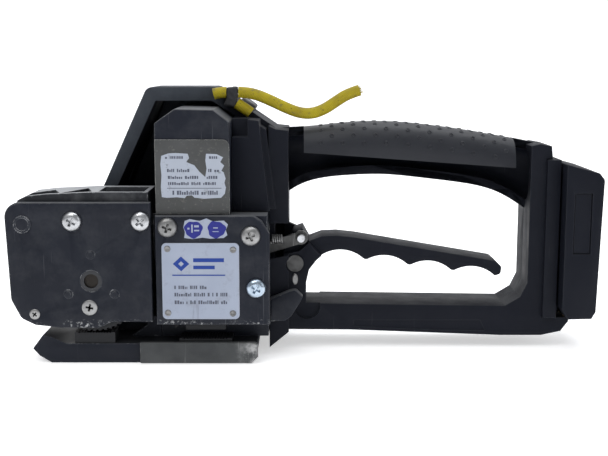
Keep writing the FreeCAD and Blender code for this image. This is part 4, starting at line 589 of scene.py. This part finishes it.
def join_boxes(name, boxes, front, thick, paint):
    """Small flat rectangles (left, low, right, high in millimetres) as one piece on the head."""
    bm = bmesh.new()
    quads = ((0, 1, 2, 3), (7, 6, 5, 4), (0, 4, 5, 1), (1, 5, 6, 2), (2, 6, 7, 3), (3, 7, 4, 0))
    for left, low, right, high in boxes:
        corners = [
            bm.verts.new((x * MM, y, z * MM))
            for y in (front, front + thick)
            for x, z in ((left, low), (right, low), (right, high), (left, high))
        ]
        for quad in quads:
            bm.faces.new([corners[k] for k in quad])
    return add_piece(name, mesh_from(name, bm), "root", paint)


def soften(node, width):
    """Stand in for a CAD node with the same shape and rounded edges."""
    bm = whole_faces(node)
    bmesh.ops.recalc_face_normals(bm, faces=bm.faces)
    mesh = bpy.data.meshes.new("soft_" + node)
    bm.to_mesh(mesh)
    bm.free()
    sharp = bpy.data.objects.new("soft_" + node, mesh)
    scene.collection.objects.link(sharp)
    bevel = sharp.modifiers.new("bevel", "BEVEL")
    bevel.width = width
    bevel.segments = 2
    bevel.limit_method = "ANGLE"
    bevel.angle_limit = math.radians(30.0)
    done = baked(sharp)
    bpy.data.objects.remove(sharp)
    done.polygons.foreach_set("use_smooth", [True] * len(done.polygons))
    done.set_sharp_from_angle(angle=math.radians(28.0))
    piece = add_piece("soft_" + node, done, body_of[node], paint_of(node))
    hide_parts(node)


# ---------------------------------------------------------------- cord

CORD_TAIL = [
    (-41.5, -14.8, 152.6), (-35.8, -14.8, 152.4), (-29.2, -14.2, 150.6), (-21.6, -13.0, 147.2),
    (-13.8, -11.4, 143.4), (-6.2, -9.6, 140.4), (1.6, -8.0, 139.8), (9.2, -6.8, 142.6),
    (16.0, -6.2, 147.2), (22.6, -6.0, 151.4), (29.6, -6.0, 153.6),
]
CORD_STUB = [(-42.6, -14.8, 146.2), (-38.6, -14.8, 143.8), (-34.4, -14.8, 140.6)]
CORD_LOOP = [(-56.0, -14.8, 151.6), (-52.4, -14.8, 152.5), (-48.5, -14.8, 152.5)]
CORD_RADIUS = 0.0033
FIBRES = 26


def cord_line(name, points):
    """One length of the cord, guided by control points given in millimetres."""
    curve = bpy.data.curves.new(name, "CURVE")
    curve.dimensions = "3D"
    curve.bevel_depth = CORD_RADIUS
    curve.bevel_resolution = 5
    curve.resolution_u = 10
    curve.use_fill_caps = True
    line = curve.splines.new("NURBS")
    line.points.add(len(points) - 1)
    for point, place in zip(line.points, points):
        point.co = (*mm(*place), 1.0)
    line.order_u = 3
    line.use_endpoint_u = True
    thing = bpy.data.objects.new(name, curve)
    scene.collection.objects.link(thing)
    curve.materials.append(paints["cord_yellow"])
    return thing


def frayed_end(tip, along):
    """Loose fibres that stand out of the cord's cut end."""
    curve = bpy.data.curves.new("cord_fibres", "CURVE")
    curve.dimensions = "3D"
    curve.bevel_depth = 0.00016
    curve.bevel_resolution = 1
    curve.use_fill_caps = True
    side = along.cross(Vector((0.0, 1.0, 0.0))).normalized()
    for _ in range(FIBRES):
        angle = 2.0 * math.pi * dice.random()
        out = CORD_RADIUS * 0.62 * math.sqrt(dice.random())
        radial = side * math.cos(angle) + Vector((0.0, 1.0, 0.0)) * math.sin(angle)
        root = tip - along * 0.0012 + radial * out
        reach = 0.0012 + 0.0016 * dice.random()
        line = curve.splines.new("NURBS")
        line.points.add(2)
        bend = radial * (0.0002 + 0.0006 * dice.random())
        places = (root, root + along * reach * 0.6, root + along * reach + bend)
        for point, place in zip(line.points, places):
            point.co = (*place, 1.0)
        line.order_u = 3
        line.use_endpoint_u = True
    curve.materials.append(paints["cord_yellow"])
    fibres = bpy.data.objects.new("cord_fibres", curve)
    scene.collection.objects.link(fibres)
    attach(fibres, "root")
    return fibres


def cords():
    """The cord's hanging tail with its frayed end, and the loop and stub at the tie."""
    tail = cord_line("cord_tail_line", CORD_TAIL)
    ends = [cord_line("cord_loop_line", CORD_LOOP), cord_line("cord_stub_line", CORD_STUB)]
    for piece in (tail, *ends):
        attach(piece, "root")
    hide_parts("cord_tail")
    for piece in ends:
        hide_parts("cord_loop")
    last, before = mm(*CORD_TAIL[-1]), mm(*CORD_TAIL[-2])
    fibres = frayed_end(last, (last - before).normalized())


def tie():
    """The wrap that holds the cord: soft tape with creases."""
    bm = whole_faces("cord_tie")
    bmesh.ops.triangulate(bm, faces=bm.faces)
    bmesh.ops.subdivide_edges(bm, edges=bm.edges, cuts=6, use_grid_fill=True)
    middle = sum((v.co for v in bm.verts), Vector()) / len(bm.verts)
    for _ in range(4):
        bmesh.ops.smooth_vert(
            bm, verts=bm.verts, factor=0.5, use_axis_x=True, use_axis_y=True, use_axis_z=True
        )
    for v in bm.verts:
        ridge = math.sin(v.co.z * 5200.0 + 2.4 * math.sin(v.co.x * 900.0))
        v.co -= (v.co - middle).normalized() * 0.00022 * (1.0 + ridge)
    piece = add_piece("tape_wrap", mesh_from("tape_wrap", bm, 60.0), "root", "tape")
    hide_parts("cord_tie")


# ---------------------------------------------------------------- small pieces on the outside

PAN_RADIUS = 0.0055

# How thick each printed layer is.
INK = 0.00006
FILM = 0.00008
STICKER = 0.0001


def screw_heads():
    """The cross-head screws that show on the strap side."""
    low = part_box("rocker_screws")[0]
    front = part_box("rocker_plate")[0].y
    for k, x in enumerate((-132.4, -94.2)):
        piece = cross_screw(
            f"rocker_screw_{k}", mm(x, front / MM, 82.5), PAN_RADIUS, front - low.y, "rocker",
            "bright_steel", 0.5 + 0.4 * k,
        )
        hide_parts("rocker_screws")
    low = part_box("cover_screws")[0]
    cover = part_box("weld_cover")[0].y
    for k, (x, z, paint) in enumerate((
        (-79.3, 79.1, "dull_steel"), (-33.0, 74.3, "steel"), (-30.2, 44.6, "zinc_steel"),
    )):
        piece = cross_screw(
            f"cover_screw_{k}", mm(x, cover / MM, z), PAN_RADIUS, cover - low.y, "root", paint,
            0.9 * k + 0.3,
        )
        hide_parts("cover_screws")
    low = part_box("rocker_flat_screws")[0]
    for k, (x, z, r) in enumerate(((-124.0, 33.4, 4.4), (-155.0, 29.6, 3.0))):
        piece = cross_screw(
            f"flat_screw_{k}", mm(x, front / MM, z), r * MM, front - low.y, "rocker", "steel",
            0.2 + 0.5 * k, 0.0014,
        )
        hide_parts("rocker_flat_screws")
    cap = [(0.0, 0.0), (0.0, 5.0), (-0.35, 5.0), (-0.5, 4.6), (-0.2, 3.6), (-0.25, 3.0), (-0.25, 0.0)]
    bm = lathe([(y * MM, r * MM) for y, r in cap])
    mesh = mesh_from("nose_plug", bm)
    mesh.transform(Matrix.Translation(mm(-160.2, front / MM, 80.8)))
    piece = add_piece("nose_plug", mesh, "rocker", "rocker_paint")
    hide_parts("rocker_flat_screws")


def rivets():
    """Four hollow rivets in the corners of the nameplate."""
    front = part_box("nameplate")[0].y
    profile = [(0.1, 0.0), (0.1, 1.9), (-0.3, 1.75), (-0.45, 1.3), (-0.2, 1.0), (-0.1, 0.0)]
    for k, (x, z) in enumerate(((-79.6, 67.1), (-42.9, 66.6), (-79.8, 30.5), (-43.3, 30.2))):
        mesh = mesh_from(f"rivet_{k}", lathe([(y * MM, r * MM) for y, r in profile], 24))
        mesh.transform(Matrix.Translation(mm(x, front / MM, z)))
        add_piece(f"rivet_{k}", mesh, "root", "dull_steel")


def print_rows(name, rows, front, seed):
    """Rows (left, right, low, tall) of short bars that read as small print but hold no letters."""
    pen = random.Random(seed)
    boxes = []
    for left, right, low, tall in rows:
        x = left
        while x < right - 0.8:
            wide = 0.5 + 0.7 * pen.random()
            drop = 0.0 if pen.random() < 0.7 else tall * 0.3
            boxes.append((x, low, min(x + wide, right), low + tall - drop))
            x += wide + (0.35 if pen.random() < 0.8 else 1.5)
    join_boxes(name, boxes, front, INK, "print_grey")


def nameplate_print():
    """A generic mark and small print on the nameplate."""
    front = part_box("nameplate")[0].y - INK
    diamond = [(-76.6, 58.6), (-72.0, 54.4), (-67.4, 58.6), (-72.0, 62.8)]
    sheet_outline("mark_diamond", diamond, front, INK, "print_blue")
    core = [(-73.6, 58.6), (-72.0, 57.1), (-70.4, 58.6), (-72.0, 60.1)]
    sheet_outline("mark_core", core, front - 0.00002, 0.00003, "plate_print")
    bars = [(-65.2, 59.6, -48.0, 61.8), (-65.2, 55.6, -53.2, 57.6), (-77.0, 51.8, -47.4, 52.5)]
    join_boxes("mark_bars", bars, front, INK, "print_blue")
    rows = [(-76.0, -57.6, 44.2, 2.0), (-76.0, -45.6, 40.0, 2.1), (-76.0, -46.0, 35.6, 2.1)]
    print_rows("small_print", rows, front, 11)


def torn_label():
    """The old paper label on the upper plate, torn at its top edge."""
    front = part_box("id_plate")[0].y - FILM
    outline = [
        (-82.6, 95.6), (-79.8, 95.2), (-74.0, 95.5), (-69.8, 95.0), (-68.6, 96.4), (-65.8, 96.6),
        (-64.4, 95.3), (-59.0, 94.7), (-54.0, 95.0), (-49.5, 95.2), (-47.4, 97.6), (-46.8, 101.0),
        (-47.6, 103.6), (-46.9, 106.0), (-47.9, 109.4), (-49.2, 110.4), (-47.6, 113.2), (-49.8, 115.2),
        (-48.2, 117.8), (-51.8, 119.6), (-57.6, 119.8), (-58.0, 116.0), (-57.4, 111.4), (-58.2, 106.8),
        (-61.6, 110.0), (-64.2, 113.4), (-68.6, 115.2), (-67.0, 117.4), (-67.8, 119.8), (-74.4, 120.2),
        (-78.4, 120.0), (-82.4, 118.6), (-83.0, 114.0), (-82.5, 108.0), (-83.0, 101.0),
    ]
    sheet_outline("torn_label", outline, front, FILM, "label_white")
    rows = [
        (-80.4, -70.4, 117.0, 1.5), (-56.0, -51.4, 117.0, 1.4), (-79.4, -65.4, 109.6, 1.8),
        (-56.6, -49.8, 109.6, 1.8), (-79.0, -60.4, 105.8, 1.7), (-57.4, -50.2, 105.8, 1.7),
        (-79.0, -50.2, 102.4, 1.6), (-76.6, -51.2, 96.9, 2.3),
    ]
    print_rows("label_print", rows, front - INK, 23)
    line = [(-79.6, 100.4, -49.2, 100.75)]
    join_boxes("label_line", line, front - INK, INK, "print_grey")


def round_sticker():
    """A worn white sticker with two blue blots."""
    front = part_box("weld_cover")[0].y - STICKER
    outline = [
        (-70.0, 73.2), (-65.4, 72.6), (-59.8, 73.4), (-55.6, 72.8), (-48.0, 73.2), (-46.0, 74.8),
        (-46.8, 77.6), (-45.6, 80.8), (-47.8, 83.0), (-54.0, 82.6), (-57.6, 84.2), (-61.4, 82.8),
        (-66.8, 83.8), (-69.6, 82.8), (-70.4, 79.2), (-69.6, 76.4),
    ]
    sheet_outline("sticker", outline, front, STICKER, "sticker_white")
    for k, (x, z) in enumerate(((-64.8, 78.0), (-52.0, 78.0))):
        ring = []
        for step in range(40):
            turn = 2.0 * math.pi * step / 40.0
            wobble = 1.0 + 0.07 * math.sin(3.0 * turn + k) + 0.04 * math.sin(7.0 * turn)
            ring.append((x + 5.0 * wobble * math.cos(turn), z + 4.7 * wobble * math.sin(turn)))
        sheet_outline(f"blot_{k}", ring, front - FILM, FILM, "print_violet")
    marks = [
        (-66.0, 76.2, -65.2, 80.8), (-64.4, 77.0, -61.6, 77.8), (-64.4, 79.2, -61.8, 80.4),
        (-68.2, 78.0, -67.0, 79.0), (-53.8, 78.6, -51.2, 79.2), (-54.2, 76.6, -50.8, 77.0),
    ]
    join_boxes("blot_marks", marks, front - FILM - INK, INK, "sticker_white")


def grip_studs():
    """Small ringed studs in staggered rows round the upper half of the grip."""
    pad = frame["nodes"]["grip_pad"]
    low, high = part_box("grip_pad")
    profile = [
        (0.1, 1.5), (-0.2, 1.4), (-0.5, 1.1), (-0.44, 0.85), (-0.1, 0.6), (-0.2, 0.3), (-0.25, 0.0),
    ]
    stud = mesh_from("stud", lathe(profile, 14), 60.0)
    stud.transform(Matrix.Scale(MM, 4))
    all_studs = bmesh.new()
    rows, count, pitch = 11, 9, 0.0128
    for row in range(rows):
        angle = math.radians(-75.0 + 15.0 * row)
        away = Vector((0.0, math.sin(angle), math.cos(angle)))
        for k in range(count):
            x = low.x + 0.010 + pitch * (k + 0.5 * (row % 2))
            share = (x - low.x) / (high.x - low.x)
            fall = 0.01995 * max(0.0, share - 0.35) ** 1.5
            centre = Vector((x, 0.0, high.z - 0.0165 - fall))
            hit, place, normal, _ = pad.ray_cast(centre + away * 0.05, -away)
            if not hit:
                continue
            turn = Vector((0.0, -1.0, 0.0)).rotation_difference(normal)
            move = Matrix.Translation(place - normal * 0.00012) @ turn.to_matrix().to_4x4()
            copy = stud.copy()
            copy.transform(move)
            all_studs.from_mesh(copy)
            bpy.data.meshes.remove(copy)
    mesh = mesh_from("grip_studs", all_studs, 60.0)
    add_piece("grip_studs", mesh, "root", "grip_rubber")


def stop_pin():
    """The bright end of a pin between the weld cover and the lever."""
    profile = [(0.0, 0.0), (0.0, 1.7), (-0.8, 1.7), (-1.1, 1.3), (-1.1, 0.0)]
    mesh = mesh_from("stop_pin", lathe([(y * MM, r * MM) for y, r in profile], 20))
    mesh.transform(Matrix.Diagonal((1.0, 1.0, 2.0, 1.0)))
    mesh.transform(Matrix.Translation(mm(-8.6, -24.1, 43.4)))
    add_piece("stop_pin", mesh, "root", "dull_steel")


def weld_springs():
    """The two coils under the weld carrier."""
    mesh = frame["nodes"]["weld_springs"].data.copy()
    piece = add_piece("coils", mesh, "root", "steel")
    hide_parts("weld_springs")
    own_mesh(piece)


def button_stems():
    """The two push buttons, with stems cut short so that they stay clear of their seats."""
    slope, shortened = math.radians(34.6), 0.0002
    out = Vector((math.sin(slope), 0.0, math.cos(slope)))
    for node in ("tension_button", "weld_button"):
        mesh = frame["nodes"][node].data.copy()
        inner = min(v.co.dot(out) for v in mesh.vertices)
        for v in mesh.vertices:
            if v.co.dot(out) < inner + 0.0001:
                v.co += out * shortened
        piece = add_piece("push_" + node, mesh, body_of[node], "button_grey")
        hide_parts(node)


# ---------------------------------------------------------------- making

edge_widths = {
    "rocker_plate": 0.0005, "weld_cover": 0.0005, "motor_block": 0.0008, "id_plate": 0.0002,
    "base_plate": 0.0006, "base_side_block": 0.0005, "cam_cover": 0.0006, "battery_case": 0.0008,
    "battery_rail": 0.0006, "rocker_casting": 0.0006, "drive_cover": 0.0006, "lever": 0.0012,
    "housing_left": 0.0006, "housing_right": 0.0006,
}

camera()
cords()
tie()
paint_nodes()
for node, width in edge_widths.items():
    soften(node, width)
screw_heads()
rivets()
nameplate_print()
torn_label()
round_sticker()
grip_studs()
stop_pin()
weld_springs()
button_stems()
backdrop()
lights()
